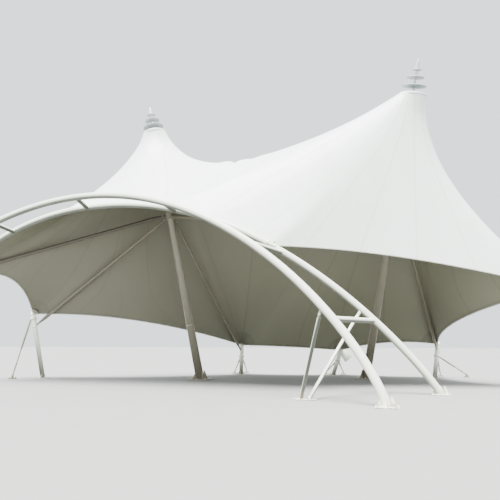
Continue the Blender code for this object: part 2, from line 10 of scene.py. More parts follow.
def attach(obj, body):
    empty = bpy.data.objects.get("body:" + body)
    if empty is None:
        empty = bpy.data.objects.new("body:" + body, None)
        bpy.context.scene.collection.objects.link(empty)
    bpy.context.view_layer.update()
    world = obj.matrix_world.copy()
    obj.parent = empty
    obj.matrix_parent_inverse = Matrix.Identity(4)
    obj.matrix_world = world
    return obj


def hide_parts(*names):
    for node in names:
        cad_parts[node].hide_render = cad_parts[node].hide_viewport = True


bl_info = {
    "name": "Tensile membrane dome",
    "version": (1, 0, 0),
    "blender": (4, 5, 0),
    "location": "View3D > Sidebar > Dome",
    "description": "Dresses the frame of a two-peaked membrane canopy on a ladder arch",
    "category": "Object",
}

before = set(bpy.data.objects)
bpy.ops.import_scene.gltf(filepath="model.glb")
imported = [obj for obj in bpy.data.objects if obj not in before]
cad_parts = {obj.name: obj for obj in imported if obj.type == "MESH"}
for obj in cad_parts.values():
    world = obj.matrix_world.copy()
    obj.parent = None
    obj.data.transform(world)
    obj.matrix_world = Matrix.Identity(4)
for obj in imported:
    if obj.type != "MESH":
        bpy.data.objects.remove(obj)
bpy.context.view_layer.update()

# Entrance arch: two tubes that lean together, as superelliptic curves on one middle line
ARCH_MIDDLE_X = -2.51
FRONT_ARCH = {"half_span": 11.14, "height": 7.34, "foot_y": -7.6, "crown_y": -6.37,
              "wide": 2.01, "tall": 1.28, "sweep": 1.56}
REAR_ARCH = {"half_span": 12.83, "height": 7.27, "foot_y": -3.715, "crown_y": -5.30,
             "wide": 2.09, "tall": 1.11, "sweep": 1.47}
# Each rung's place on the front tube and on the rear tube, whose end sits low on the tube's side
RUNGS = ((-0.696, -0.670), (-0.472, -0.470), (-0.244, -0.237), (-0.016, -0.027), (0.212, 0.187),
         (0.440, 0.434), (0.684, 0.674))
RUNG_DROP = 0.05

# Masts, with the places of the strut collar and of a small bracket as shares of the height
MASTS = {
    "left": {"foot": (0.0, 0.0, 0.0), "top": (-2.40, -1.24, 12.5), "collar": 0.642,
             "bracket": 0.205},
    "right": {"foot": (7.52, 3.20, 0.0), "top": (10.40, -1.24, 12.5), "collar": 0.66,
              "bracket": 0.0},
}
RING_RADIUS = 0.57
RING_DEPTH = 0.14

# Finial, as (radius, height) above the mast head, down its outer side
FINIAL_PROFILE = (
    (0.0, 1.455), (0.03, 1.45), (0.048, 1.42), (0.066, 1.33), (0.082, 1.22), (0.095, 1.12), (0.11, 1.055),
    (0.185, 1.04), (0.20, 1.03), (0.20, 1.012), (0.185, 1.0), (0.09, 0.975), (0.078, 0.95), (0.075, 0.86),
    (0.085, 0.80), (0.12, 0.745), (0.18, 0.722), (0.36, 0.712), (0.375, 0.70), (0.375, 0.69), (0.36, 0.678),
    (0.20, 0.655), (0.075, 0.64), (0.055, 0.61), (0.05, 0.55), (0.065, 0.46), (0.11, 0.395), (0.20, 0.362),
    (0.34, 0.352), (0.51, 0.347), (0.525, 0.336), (0.525, 0.325), (0.51, 0.312), (0.30, 0.285), (0.11, 0.265),
    (0.065, 0.25), (0.055, 0.22), (0.055, 0.13), (0.075, 0.10), (0.12, 0.085), (0.13, 0.062), (0.0, 0.062),
)

# Props of the arch legs: X from the arch's middle, and the place of the shared plate
FRONT_PROP = {"tube_x": 9.43, "foot": (8.63, -6.52)}
REAR_PROP = {"tube_x": 10.41, "foot": (8.88, -6.57)}

# Edge posts: the head that holds the cloth's corner, and how far down the strut and the stays are held
POSTS = {
    "side_left": {"drop": 0.64, "head": (-8.41, -1.94, 3.13), "foot": (-7.51, -1.85), "spike": 0.70,
                  "stay_drop": 0.22, "anchors": ((-8.97, -2.25), (-8.63, -2.61))},
    "back_left": {"drop": 0.40, "head": (0.64, 4.42, 1.62), "foot": (0.67, 4.19), "spike": 0.0,
                  "stay_drop": 0.64, "anchors": ((0.05, 4.94), (0.39, 6.10))},
    "back_mid": {"drop": 0.40, "head": (6.10, 5.59, 1.35), "foot": (5.68, 4.99), "spike": 0.0,
                 "stay_drop": 0.64, "anchors": ((5.19, 6.00), (6.09, 6.40))},
    "back_right": {"drop": 0.40, "head": (11.13, 5.00, 1.69), "foot": (10.79, 4.40), "spike": 0.0,
                   "stay_drop": 0.64, "anchors": ((11.24, 6.35), (12.44, 5.75))},
    "side_right": {"drop": 0.40, "head": (14.94, -0.90, 3.75), "foot": (14.39, -1.10), "spike": 0.0,
                   "stay_drop": 0.64, "anchors": ((16.09, -0.95), (16.09, -0.45))},
}

# How the spike on a head leans out of the line of its post
SPIKE_LEAN = (-0.10, -0.06, 0.0)

# The pale tongue plate beside the head of one post: its direction, how far back from the head its centre
# lies, its inner and outer radius and thickness about that centre, and half its opening in degrees
TONGUE_POST = "back_mid"
TONGUE = {"along": (0.62, 0.19, -0.76), "back": 1.20, "size": (1.30, 1.86, 0.014), "half": 8.0}

# Where each strut starts: up the mast from the collar's middle, and to the right
STRUT_STARTS = {
    "arch_left": (0.09, 0.0), "arch_right": (0.0, 0.0), "side_left": (0.0, 0.0),
    "back_left": (-0.03, 0.13), "back_right": (0.11, 0.0), "side_right": (0.11, 0.0),
}
STRUT_SEAT = (0.05, -0.07, -0.07)
ARCH_STRUTS = {"arch_left": -7.8, "arch_right": 4.75}

# Cloth: where it is held on the rear tube, the pull of its free edges and its form-finding densities
HOLD_LEFT = -8.6
VALLEY = 3.0
HOLD_RIGHT = 7.3
FRONT_EDGES = {"front_1": (HOLD_LEFT, VALLEY), "front_2": (VALLEY, HOLD_RIGHT)}
EDGE_PULL = {
    "left": (1.18, -0.49, 1.07), "back_1": (0.35, -1.0, 0.45), "back_2": (0.0, -0.6, 0.05),
    "back_3": (0.0, -0.5, 0.25), "right": (-1.13, -0.2, 0.07), "front_right": (-0.33, 0.45, 0.465),
}
FREE_EDGES = {
    "back_1": ("back_left", "side_left"), "left": ("side_left", "hold_left"),
    "front_right": ("hold_right", "side_right"), "right": ("side_right", "back_right"),
    "back_3": ("back_right", "back_mid"), "back_2": ("back_mid", "back_left"),
}
LOOPS = {
    "left": ("valley", "back_1", "left", "front_1"),
    "right": ("front_2", "front_right", "right", "back_3", "back_2", "yellav"),
}
COLUMNS = {
    "valley": 8, "yellav": 8, "back_1": 10, "left": 8, "front_1": 12,
    "front_2": 6, "front_right": 12, "right": 10, "back_3": 6, "back_2": 6,
}
ROWS = 9
HOOP_PULL = {
    "left": {"valley": (0.035, 1.056), "back_1": (0.024, 13.06), "left": (1.261, 2.926),
             "front_1": (6.346, 1.534)},
    "right": {"front_2": (0.238, 0.014), "front_right": (0.105, 0.084), "right": (0.122, 0.029),
              "back_3": (0.491, 0.185), "back_2": (0.178, 0.118), "yellav": (0.040, 0.003)},
}
NECK_PULL = {"left": 23.44, "right": 135.7}
VALLEY_PULL = 1.699
CORNER_RADIUS = 0.28
TUBE_CLEAR = 0.15
# Flat area of the cut cloth against its area when it is stretched
STRETCH_ENDS = {
    "front_1": ("hold_left", "valley"), "front_2": ("valley", "hold_right"),
    "valley": ("valley", "back_left"), "yellav": ("back_left", "valley"), **FREE_EDGES,
}

# Radial welds, as net columns at the ring and at the boundary
WELDS = {
    "left": ((0.0, 0.0), (2.4, 2.7), (4.8, 5.3), (7.2, 8.0), (8.3, 11.3), (10.6, 14.4), (14.8, 16.1),
             (19.3, 17.8), (21.9, 19.9), (23.6, 22.0), (25.4, 25.1), (27.6, 27.6), (29.6, 29.6),
             (31.7, 31.7), (33.8, 33.8), (35.9, 35.9)),
    "right": ((0.0, 0.0), (2.5, 2.5), (5.0, 5.0), (7.5, 7.5), (10.0, 10.0), (12.5, 12.5), (15.0, 15.0),
              (17.5, 17.5), (20.2, 20.2), (22.9, 22.6), (25.5, 25.2), (28.6, 28.0), (32.5, 31.2),
              (36.0, 34.3), (38.6, 36.6), (41.0, 39.4), (43.4, 42.2), (45.7, 45.1)),
}

# Turned profiles, as (radius, height) along each piece's axis
COLLAR_RADIUS = 0.215
MAST_COLLAR = (
    (0.17, 0.18), (0.20, 0.18), (COLLAR_RADIUS, 0.165), (COLLAR_RADIUS, 0.13), (0.196, 0.12),
    (0.196, -0.12), (COLLAR_RADIUS, -0.13), (COLLAR_RADIUS, -0.165), (0.20, -0.18), (0.17, -0.18),
)
CAP_PROFILE = (
    (0.10, 0.068), (0.30, 0.060), (0.46, 0.045), (0.53, 0.032), (0.565, 0.012), (0.583, -0.02),
    (0.586, -0.06), (0.580, -0.10), (0.574, -0.10), (0.574, -0.02), (0.55, 0.0),
)
RIM_PROFILE = ((RING_RADIUS, -0.012), (RING_RADIUS, -RING_DEPTH), (0.54, -RING_DEPTH), (0.54, -0.012))
RING_PLATE_PROFILE = (
    (0.0, 0.055), (0.14, 0.055), (0.40, 0.04), (0.55, 0.012), (0.568, -0.01), (0.54, -0.012), (0.0, -0.002),
)
CLAMP_BAND = ((0.586, -0.055), (0.591, -0.055), (0.591, -0.095), (0.586, -0.095))
KNOB_PROFILE = (
    (0.0, 0.122), (0.03, 0.12), (0.075, 0.096), (0.108, 0.05), (0.122, 0.0), (0.122, -0.05), (0.105, -0.07),
)
SPIKE_FOOT = ((0.022, 0.40), (0.034, 0.16), (0.045, 0.13), (0.045, 0.10), (0.03, 0.06))
STRUT_RADIUS = 0.08
STRUT_TAPER = 0.42
STRUT_END = ((0.0, 0.10), (0.045, 0.10), (0.05, 0.12), (STRUT_RADIUS, STRUT_TAPER))

# Rings round tubes: inner and outer radius, half length, and the chamfer across and along
BANDS = {
    "bracket": (0.186, 0.199, 0.05, 0.003, 0.006),
    "strut_sleeve": (0.10, 0.119, 0.067, 0.007, 0.012),
    "head_sleeve": (0.10, 0.119, 0.024, 0.007, 0.012),
    "rod_collar": (0.106, 0.148, 0.06, 0.006, 0.008),
    "turnbuckle": (0.0, 0.030, 0.16, 0.004, 0.01),
    "tube_clamp": (0.127, 0.152, 0.042, 0.004, 0.006),
}

# Tubes, rods and cables: radii, weld beads, and how far pins and ends stand off the axes that they join
ARCH_BEADS = (-0.80, -0.57, -0.34, -0.12, 0.12, 0.34, 0.57, 0.80)
BELOW_GROUND = 0.12
RUNG_START = 0.10
RUNG_COLLAR = {"end": 0.142, "radii": (0.104, 0.092)}
STRUT_STOP = 0.10
PROP_RADIUS = 0.055
PROP_FOOT = 0.02
PROP_GAP = 0.09
MAST_RADII = (0.20, 0.14)
MAST_BEADS = (0.22, 0.44, 0.84)
POST_RADIUS = 0.105
SLEEVE_GAP = 0.12
ROD_RADIUS = 0.024
CABLE_RADIUS = 0.012
CABLE_PIN = 0.16
PIN_CLEAR = 0.14
WELD_RADIUS = 0.009
# The strut that gets the darkest painted shade
DARK_STRUT = "strut_left_arch_left"

# Forks at the ends of props, struts, rods and cables: each block as length, thickness, width, place
# forward and aside, all as shares of the fork's size, and its rounded edge
PROP_FORK = 0.085
STRUT_FORK = 0.075
ROD_FORK = 0.055
CABLE_FORK = 0.036
FORK_BLOCKS = (
    (1.9, 0.22, 0.95, -0.35, -0.36, 0.004), (1.9, 0.22, 0.95, -0.35, 0.36, 0.004),
    (2.3, 0.40, 1.00, 0.75, 0.0, 0.004), (0.5, 0.94, 0.95, -1.15, 0.0, 0.006),
)

# Corner plates: inner and outer radius and thickness, the same for the bars that clamp the cloth, how far
# the bars and bolts sit off the plate's middle plane, and the bolts' circle, gap and size
CORNER_PLATE = (0.05, 0.255, 0.022)
CLAMP_BAR = (0.235, 0.315, 0.011)
BAR_RISE = 0.013
CORNER_BOLTS = {"rise": 0.019, "out": 0.275, "gap": 0.085, "size": 0.012}

# Peak spokes' ends, as metres below the mast's top and out from its axis, and the clamp bands' bolts
SPOKE_FOOT = (0.42, 0.13)
SPOKE_HEAD = (0.10, 0.545)
SPOKE_RADIUS = 0.022
PEAK_BOLTS = {"turn": 15, "out": 0.584, "down": 0.075, "size": 0.012}

# Tie rods: distances of the top from the post's axis, of the eye from the ground, of the upper pin from
# the top, of the bar from both pins, of the tension tube from the top and the turnbuckle from the eye
ROD_TOP = 0.127
EYE_HEIGHT = 0.145
ROD_PIN = 0.13
ROD_GAP = 0.06
TUBE_START = 0.2
TURNBUCKLE_END = 0.42
ANCHOR_LUG = (0.10, 0.022, 0.13)
LUG_HEIGHT = 0.085

# Lock nuts of a turnbuckle: their distance from its middle, half their height and their radius
NUT_PLACE = 0.18
NUT_HALF = 0.016
NUT_RADIUS = 0.034

# The small bracket on a mast: its block, how far out the block and its bolts sit, and the bolts
BRACKET_BLOCK = (0.14, 0.05, 0.11)
BRACKET_OUT = 0.215
BRACKET_BOLTS = {"out": 0.24, "aside": 0.045, "size": 0.016}

# Clamps on the rear tube: their bands, their ears' size and place and the bolts' size; the front rail and
# its lugs; the sockets of the edge cables, as start, end and radii
CLAMP_PLACES = (-0.14, 0.0, 0.14)
CLAMP_EAR = (0.36, 0.07, 0.012)
EAR_ASIDE = 0.175
EAR_RISE = 0.008
EAR_BOLT = 0.014
RAIL_RADIUS = 0.013
RAIL_LUG = (0.05, 0.012, 0.06)
CABLE_SOCKET = (0.05, 0.15, 0.021, 0.015)

# A bolt's washer, head and stub: start, end and radius as shares of the bolt's size, and sides
BOLT_PARTS = ((0.0, 0.25, 1.35, 12), (0.25, 1.05, 1.0, 6), (1.05, 1.7, 0.5, 6))
ANCHOR_BOLT = 0.026

# Base plates: size, bolts as shares of the half size with their inset, and the stiffeners' height,
# reach and thickness, distance from the middle and turns in degrees
UP = Vector((0, 0, 1))
SQUARE = ((-1, -1), (-1, 1), (1, 1), (1, -1))
ROUND_EIGHT = SQUARE + ((-1, 0), (0, 1), (1, 0), (0, -1))
BASES = {
    "arch": {"size": (0.62, 0.62, 0.035), "bolts": SQUARE, "inset": 0.075,
             "fin": (0.24, 0.15, 0.016), "fin_start": 0.11, "fin_turns": (0, 90, 180, 270)},
    "prop": {"size": (0.70, 0.34, 0.03), "bolts": SQUARE, "inset": 0.06, "fin_turns": ()},
    "mast": {"size": (0.95, 0.95, 0.04), "bolts": ROUND_EIGHT, "inset": 0.08,
             "fin": (0.38, 0.24, 0.02), "fin_start": 0.16, "fin_turns": (45, 135, 225, 315)},
    "post": {"size": (0.44, 0.44, 0.03), "bolts": SQUARE, "inset": 0.055,
             "fin": (0.16, 0.10, 0.012), "fin_start": 0.10, "fin_turns": (0, 90, 180, 270)},
    "anchor": {"size": (0.26, 0.26, 0.025), "bolts": SQUARE, "inset": 0.045, "fin_turns": ()},
}
FIN_CUT = 0.78

# Dirt on the enamel, the dark tint of the shade painted on its underside, and where that painted shade starts
# and is in full: a level face has a place of 0.5
ENAMEL_DUST = (0.72, 0.74, 0.62)
UNDERSIDE_SHADE_TINT = (0.07, 0.08, 0.06)
SPLASHED_DIRT = (0.42, 0.38, 0.30)
RUST = (0.30, 0.15, 0.07)
UNDERNEATH = (0.60, 0.82)

# Stage: two tints of the floor, the light, and the camera with its angles in radians and its focal
# length as a share of the picture's width
FLOOR = ((0.31, 0.31, 0.30), (0.285, 0.285, 0.275))
SUN = {"energy": 19.0, "angle": 30, "turn": (18, -5, 0)}
SKY = {"colour": (0.93, 0.97, 1.0), "strength": 1.9}
CAMERA = {"place": (8.845, -20.568, 1.6), "yaw": -0.3002, "pitch": 0.2093, "roll": 0.0018,
          "focal": 448.85 / 500}


def metres(name, description, default):
    return bpy.props.FloatProperty(name=name, description=description, default=default, unit="LENGTH")


def tone(name, description, default):
    return bpy.props.FloatVectorProperty(
        name=name, description=description, default=default, subtype="COLOR")


class ClothSettings(bpy.types.PropertyGroup):
    """Sizes and colours of the membrane."""

    refine: bpy.props.IntProperty(
        name="Refine", description="Fine cells in one cell of the net", default=5, min=1)
    thickness: metres("Thickness", "Coated cloth with its welds", 0.004)
    seam_width: metres("Seam width", "Overlap of two welded gores", 0.06)
    pocket_radius: metres("Pocket radius", "Hem round an edge cable", 0.024)
    top: tone("Top", "Colour of the weathered upper face", (0.86, 0.94, 0.87))
    # The underside's tone is painted shade: the same white cloth, darkened to a warm grey as under the canopy
    underside: tone("Underside", "Colour of the lower face", (0.172, 0.170, 0.118))


class SteelSettings(bpy.types.PropertyGroup):
    """Sizes and colours of the steelwork."""

    tube_radius: metres("Arch tube radius", "Outer radius of the two arch tubes", 0.125)
    rung_radius: metres("Rung radius", "Outer radius of the rungs", 0.09)
    enamel: tone("Enamel", "Colour of the painted tubes", (0.88, 0.93, 0.78))
    # The mast tone is painted shade: the arch's enamel darkened as in the canopy's shade
    mast: tone("Mast", "Colour of the masts, corner plates and rods", (0.235, 0.222, 0.165))
    finial: tone("Finial", "Colour of the finials", (0.66, 0.69, 0.70))
    zinc: tone("Zinc", "Colour of the galvanised fittings", (0.56, 0.57, 0.56))


# Shader maths
class Value:
    """A shader socket that adds Math nodes when it is used in an expression."""

    def __init__(self, finish, socket):
        self.finish = finish
        self.socket = socket

    def math(self, operation, *values):
        node = self.finish.add("ShaderNodeMath", {"operation": operation}, dict(enumerate(values)))
        return self.finish.out(node)

    def __add__(self, other):
        return self.math("ADD", self, other)

    __radd__ = __add__

    def __sub__(self, other):
        return self.math("SUBTRACT", self, other)

    def __rsub__(self, other):
        return self.math("SUBTRACT", other, self)

    def __mul__(self, other):
        return self.math("MULTIPLY", self, other)

    __rmul__ = __mul__

    def __truediv__(self, other):
        return self.math("DIVIDE", self, other)

    def __rtruediv__(self, other):
        return self.math("DIVIDE", other, self)


class Finish:
    """A material that is built up node by node round one Principled shader."""

    def __init__(self, name):
        self.material = bpy.data.materials.new(name)
        self.material.use_nodes = True
        self.tree = self.material.node_tree
        self.shader = self.tree.nodes["Principled BSDF"]

    def set_input(self, node, key, value):
        if isinstance(value, Value):
            self.tree.links.new(value.socket, node.inputs[key])
        else:
            node.inputs[key].default_value = value

    def add(self, kind, settings, inputs):
        """Any node: its settings are set first, then its sockets get their values or links."""
        node = self.tree.nodes.new(kind)
        for key, value in settings.items():
            if key == "stops":
                for element, (place, level) in zip(node.color_ramp.elements, value):
                    element.position = place
                    element.color = (level, level, level, 1.0)
            else:
                setattr(node, key, value)
        for key, value in inputs.items():
            self.set_input(node, key, value)
        return node

    def out(self, node, key=0):
        return Value(self, node.outputs[key])

    def place(self):
        return self.out(self.add("ShaderNodeTexCoord", {}, {}), "Object")

    def noise(self, place, scale, detail, roughness=0.55):
        return self.out(self.add("ShaderNodeTexNoise", {}, {
            "Vector": place, "Scale": scale, "Detail": detail, "Roughness": roughness}), "Fac")

    def streaks(self, place, scale, detail, roughness=0.55):
        """Noise with a scale of its own along each axis."""
        mapped = self.out(self.add("ShaderNodeMapping", {}, {"Vector": place, "Scale": scale}))
        return self.noise(mapped, 1.0, detail, roughness)

    def part(self, place, axis):
        return self.out(self.add("ShaderNodeSeparateXYZ", {}, {0: place}), axis)

    def attribute(self, name):
        return self.out(self.add("ShaderNodeAttribute", {"attribute_name": name}, {}), "Fac")

    def ramp(self, value, *stops):
        """A level that goes from one (place, level) stop to the other."""
        return self.out(self.add("ShaderNodeValToRGB", {"stops": stops}, {0: value}))

    def underneath(self, reach=UNDERNEATH):
        """1 on faces that look well down and 0 on faces that look up; a level face has a place of 0.5."""
        normal = self.out(self.add("ShaderNodeNewGeometry", {}, {}), "Normal")
        start, full = reach
        return self.ramp(0.5 - self.part(normal, 2) * 0.5, (start, 0.0), (full, 1.0))

    def blend(self, first, second, share):
        """A mix of two colours, each of them a socket or plain red, green and blue."""
        first, second = (tint if isinstance(tint, Value) else (*tint, 1.0) for tint in (first, second))
        return self.out(self.add("ShaderNodeMix", {"data_type": "RGBA"}, {0: share, 6: first, 7: second}), 2)

    def layered(self, tint, *layers):
        """A colour with further (colour, share) layers over it."""
        for layer, share in layers:
            tint = self.blend(tint, layer, share)
        return tint

    def bump(self, height, strength, distance):
        return self.out(self.add("ShaderNodeBump", {}, {
            "Height": height, "Strength": strength, "Distance": distance}))

    def surface(self, **inputs):
        for key, value in inputs.items():
            self.set_input(self.shader, key.replace("_", " ").title(), value)
        return self.material


def shade(rgb, level):
    return tuple(part * level for part in rgb)


# Finishes
def painted_steel():
    """Off-white gloss enamel of the arch."""
    return enamel("painted_steel", bpy.context.scene.dome_steel.enamel, ENAMEL_DUST, 1.05)


def rung_paint():
    """The arch's enamel on its rungs and props, with painted shade from their sides down."""
    return enamel("rung_paint", bpy.context.scene.dome_steel.enamel, ENAMEL_DUST, 1.15, (0.44, 0.62))


def mast_paint():
    """Grey-cream enamel of the masts, corner plates and rods: the arch's off-white paint darkened as painted
    shade.
    """
    return enamel("mast_paint", bpy.context.scene.dome_steel.mast, (0.17, 0.155, 0.10), 0.25)


def strut_paint():
    """The same enamel on the struts, darkened and browned as painted shade."""
    # Painted shade: a dark brownish cream in place of the off-white enamel
    return enamel("strut_paint", (0.165, 0.150, 0.108), (0.12, 0.105, 0.07), 0.25)


def dark_paint():
    """The same enamel, darkened further as painted shade, on the strut to the arch's left leg."""
    return enamel("dark_paint", (0.075, 0.065, 0.045), (0.055, 0.045, 0.03), 0.25)


def enamel(name, paint, dust, mildew_and_shade, reach=UNDERNEATH):
    """Gloss enamel, dulled in patches, darkened underneath as painted shade, with splashed dirt and rust near
    the ground.
    """
    finish = Finish(name)
    place = finish.place()
    height = finish.part(place, 2)
    patches = finish.noise(place, 0.9, 5.0)
    specks = finish.noise(place, 9.0, 6.0, 0.7)
    runs = finish.streaks(place, (7.0, 7.0, 0.5), 3.0)
    splash = finish.ramp(height, (0.0, 1.0), (0.55, 0.0)) * finish.ramp(specks, (0.42, 0.0), (0.62, 1.0))
    rust = finish.ramp(height, (0.0, 1.0), (0.18, 0.0)) * finish.ramp(specks, (0.50, 0.0), (0.60, 1.0))
    dirt = finish.ramp(patches, (0.45, 0.0), (0.75, 0.30)) + finish.ramp(runs, (0.50, 0.0), (0.80, 0.25))
    # Painted shade: faces that look down are darkened towards a dark olive tint, with patchy edges
    painted_underside_shade = finish.underneath(reach) * (mildew_and_shade - patches * 0.2)
    tint = finish.layered(
        paint, (dust, dirt), (UNDERSIDE_SHADE_TINT, painted_underside_shade), (SPLASHED_DIRT, splash * 0.6), (RUST, rust * 0.7))
    return finish.surface(
        base_color=tint, roughness=0.36 + dirt * 0.35 + splash * 0.25,
        normal=finish.bump(specks, 0.12, 0.004))


def finial_steel():
    """Cool light grey paint with rain marks, and painted shade under the discs."""
    finish = Finish("finial_steel")
    place = finish.place()
    marks = finish.streaks(place, (9.0, 9.0, 1.5), 4.0)
    # Painted shade: the finial is darkened to blue-grey on faces that look down, under its discs
    tint = finish.layered(
        bpy.context.scene.dome_steel.finial,
        ((0.45, 0.47, 0.47), finish.ramp(marks, (0.45, 0.0), (0.75, 0.6))),
        ((0.22, 0.25, 0.28), finish.underneath() * 0.8))
    return finish.surface(
        base_color=tint, roughness=0.30 + marks * 0.25, metallic=0.25,
        normal=finish.bump(finish.noise(place, 30.0, 3.0), 0.08, 0.003))


def zinc():
    """Galvanised cables and bolts with dull crystals."""
    finish = Finish("zinc")
    place = finish.place()
    cells = finish.add("ShaderNodeTexVoronoi", {}, {"Vector": place, "Scale": 40.0})
    crystals = finish.out(cells, "Distance")
    patches = finish.noise(place, 5.0, 4.0)
    tint = finish.layered(
        bpy.context.scene.dome_steel.zinc,
        ((0.70, 0.71, 0.69), finish.ramp(crystals, (0.2, 0.0), (0.8, 1.0))),
        ((0.36, 0.31, 0.26), finish.ramp(patches, (0.55, 0.0), (0.80, 0.6))))
    return finish.surface(
        base_color=tint, roughness=0.34 + patches * 0.3, metallic=0.65,
        normal=finish.bump(crystals, 0.05, 0.002))


def weld_distance(finish):
    """Metres from the nearest radial weld."""
    gore = finish.attribute("gore")
    off = gore - gore.math("ROUND", gore)
    return off.math("ABSOLUTE", off) * finish.attribute("gore_width")


def double_cloth(finish):
    """1 on the hem along the edges and on the round patches at the corners and peaks."""
    hem = finish.ramp(finish.attribute("rim"), (0.12, 1.0), (0.135, 0.0))
    patch = finish.ramp(finish.attribute("patch"), (0.86, 1.0), (0.875, 0.0))
    return hem.math("MAXIMUM", hem, patch)


def cloth_top():
    """White coated cloth, cool in tone, with water marks, pale scuffs and dust along the welds."""
    settings = bpy.context.scene.dome_cloth
    finish = Finish("cloth_top")
    place = finish.place()
    weld = weld_distance(finish) / settings.seam_width
    on_weld = finish.ramp(weld, (0.42, 1.0), (0.55, 0.0))
    beside = finish.ramp(weld, (0.5, 1.0), (1.0, 0.0))
    doubled = double_cloth(finish)
    clouds = finish.noise(place, 0.22, 5.0, 0.6)
    marks = finish.streaks(place, (1.1, 1.1, 0.35), 6.0, 0.62)
    scuffs = finish.streaks(place, (0.8, 1.6, 0.9), 4.0, 0.5)
    weave = finish.noise(place, 260.0, 2.0)
    soiling = finish.ramp(marks, (0.48, 0.0), (0.78, 0.55)) * finish.ramp(clouds, (0.35, 0.3), (0.65, 1.0))
    tint = finish.layered(
        settings.top,
        ((0.68, 0.69, 0.63), soiling),
        ((0.90, 0.92, 0.90), finish.ramp(scuffs, (0.58, 0.0), (0.70, 0.6))),
        ((0.60, 0.61, 0.57), beside * 0.10 + on_weld * 0.25 + doubled * 0.12))
    relief = on_weld * 0.4 + doubled * 0.3 + weave * 0.15 + clouds * 0.5
    return finish.surface(
        base_color=tint, roughness=0.42 + marks * 0.2, coat_weight=0.12,
        normal=finish.bump(relief, 0.35, 0.012))


def cap_cloth():
    """The same white cloth, rolled over the peak rings and soiled by rain."""
    finish = Finish("cap_cloth")
    marks = finish.streaks(finish.place(), (5.0, 5.0, 1.5), 5.0, 0.6)
    soiling = finish.ramp(marks, (0.45, 0.0), (0.75, 0.6))
    return finish.surface(
        base_color=finish.blend(bpy.context.scene.dome_cloth.top, (0.55, 0.56, 0.52), soiling),
        roughness=0.42 + marks * 0.2, coat_weight=0.12, normal=finish.bump(marks, 0.2, 0.006))


def hem_cloth():
    """The cable pockets: the same cloth, greyed by dirt that the cable holds."""
    finish = Finish("hem_cloth")
    marks = finish.streaks(finish.place(), (2.5, 2.5, 2.5), 5.0, 0.65)
    soiling = finish.ramp(marks, (0.40, 0.0), (0.70, 1.0))
    return finish.surface(
        base_color=finish.blend((0.46, 0.47, 0.41), (0.33, 0.33, 0.28), soiling),
        roughness=0.5 + marks * 0.2, normal=finish.bump(marks, 0.2, 0.004))


def cloth_underside():
    """The lower face: its warm grey tone and its darkening to the left are painted shade; darker where the
    cloth is double.
    """
    settings = bpy.context.scene.dome_cloth
    under = settings.underside
    finish = Finish("cloth_underside")
    place = finish.place()
    on_weld = finish.ramp(weld_distance(finish) / settings.seam_width, (0.42, 1.0), (0.60, 0.0))
    doubled = double_cloth(finish)
    clouds = finish.noise(place, 0.3, 5.0, 0.6)
    mildew_and_shade = finish.noise(place, 2.2, 6.0, 0.65)
    weave = finish.noise(place, 260.0, 2.0)
    # Painted shade: the lower face's tone gets darker towards the left
    leftwards = finish.ramp(finish.part(place, 0) * -0.05 + 0.3, (0.0, 0.0), (0.7, 1.0))
    fresh = finish.blend(shade(under, 1.10), shade(under, 0.84), leftwards)
    soiled = finish.blend(shade(under, 0.94), shade(under, 0.70), leftwards)
    soiling = finish.ramp(clouds, (0.35, 0.0), (0.75, 0.5)) + finish.ramp(mildew_and_shade, (0.62, 0.0), (0.80, 0.25))
    tint = finish.layered(
        fresh, (soiled, soiling), (shade(under, 0.62), on_weld * 0.32 + doubled * 0.45))
    return finish.surface(
        base_color=tint, roughness=0.5 + mildew_and_shade * 0.2,
        normal=finish.bump(on_weld * 0.5 + doubled * 0.4 + weave * 0.15, 0.3, 0.01))


@functools.cache
def finish_of(maker):
    """The material of a finish, made once."""
    return maker()


# Workshop steps
def deselect():
    if bpy.context.object is not None and bpy.context.object.mode != "OBJECT":
        bpy.ops.object.mode_set(mode="OBJECT")
    bpy.ops.object.select_all(action="DESELECT")


def pick(*pieces):
    """Select these pieces and make the first one active."""
    deselect()
    for piece in pieces:
        piece.select_set(True)
    bpy.context.view_layer.objects.active = pieces[0]


def edit(piece):
    """Open a piece's mesh for editing with all of it selected."""
    pick(piece)
    bpy.ops.object.mode_set(mode="EDIT")
    bpy.ops.mesh.select_all(action="SELECT")


def close_edit(merge, fill=False):
    """Merge points that are that near, fill holes if asked, turn all faces outward and leave the mesh."""
    bpy.ops.mesh.select_all(action="SELECT")
    bpy.ops.mesh.remove_doubles(threshold=merge)
    if fill:
        bpy.ops.mesh.fill_holes(sides=0)
    bpy.ops.mesh.normals_make_consistent(inside=False)
    bpy.ops.object.mode_set(mode="OBJECT")


def settle(piece):
    """Move a piece's place into its mesh, so that its object sits at the origin."""
    pick(piece)
    bpy.ops.object.transform_apply(location=True, rotation=True, scale=True)


def soften(piece, angle=40):
    pick(piece)
    bpy.ops.object.shade_smooth_by_angle(angle=math.radians(angle))


def bevel(piece, width, angle=40):
    modifier = piece.modifiers.new("bevel", "BEVEL")
    modifier.width = width
    modifier.segments = 2
    modifier.limit_method = "ANGLE"
    modifier.angle_limit = math.radians(angle)
    pick(piece)
    bpy.ops.object.modifier_apply(modifier=modifier.name)


def turn_to(direction):
    return direction.to_track_quat("Z", "Y")


def bar(start, end, radius, end_radius=None, sides=32):
    """A round bar or cone between two points."""
    deselect()
    bpy.ops.mesh.primitive_cone_add(
        vertices=sides, radius1=radius, radius2=radius if end_radius is None else end_radius,
        depth=(end - start).length, location=(start + end) / 2, rotation=turn_to(end - start).to_euler())
    piece = bpy.context.object
    settle(piece)
    soften(piece)
    return piece


def block(size, place, edge, axes=((1, 0, 0), (0, 1, 0), (0, 0, 1))):
    """A rectangular plate with rounded edges, turned to the given axes."""
    deselect()
    bpy.ops.mesh.primitive_cube_add(size=1)
    piece = bpy.context.object
    turn = Matrix(axes).transposed().to_4x4()
    piece.matrix_world = Matrix.Translation(place) @ turn @ Matrix.Diagonal((*size, 1.0))
    settle(piece)
    bevel(piece, edge)
    soften(piece)
    return piece


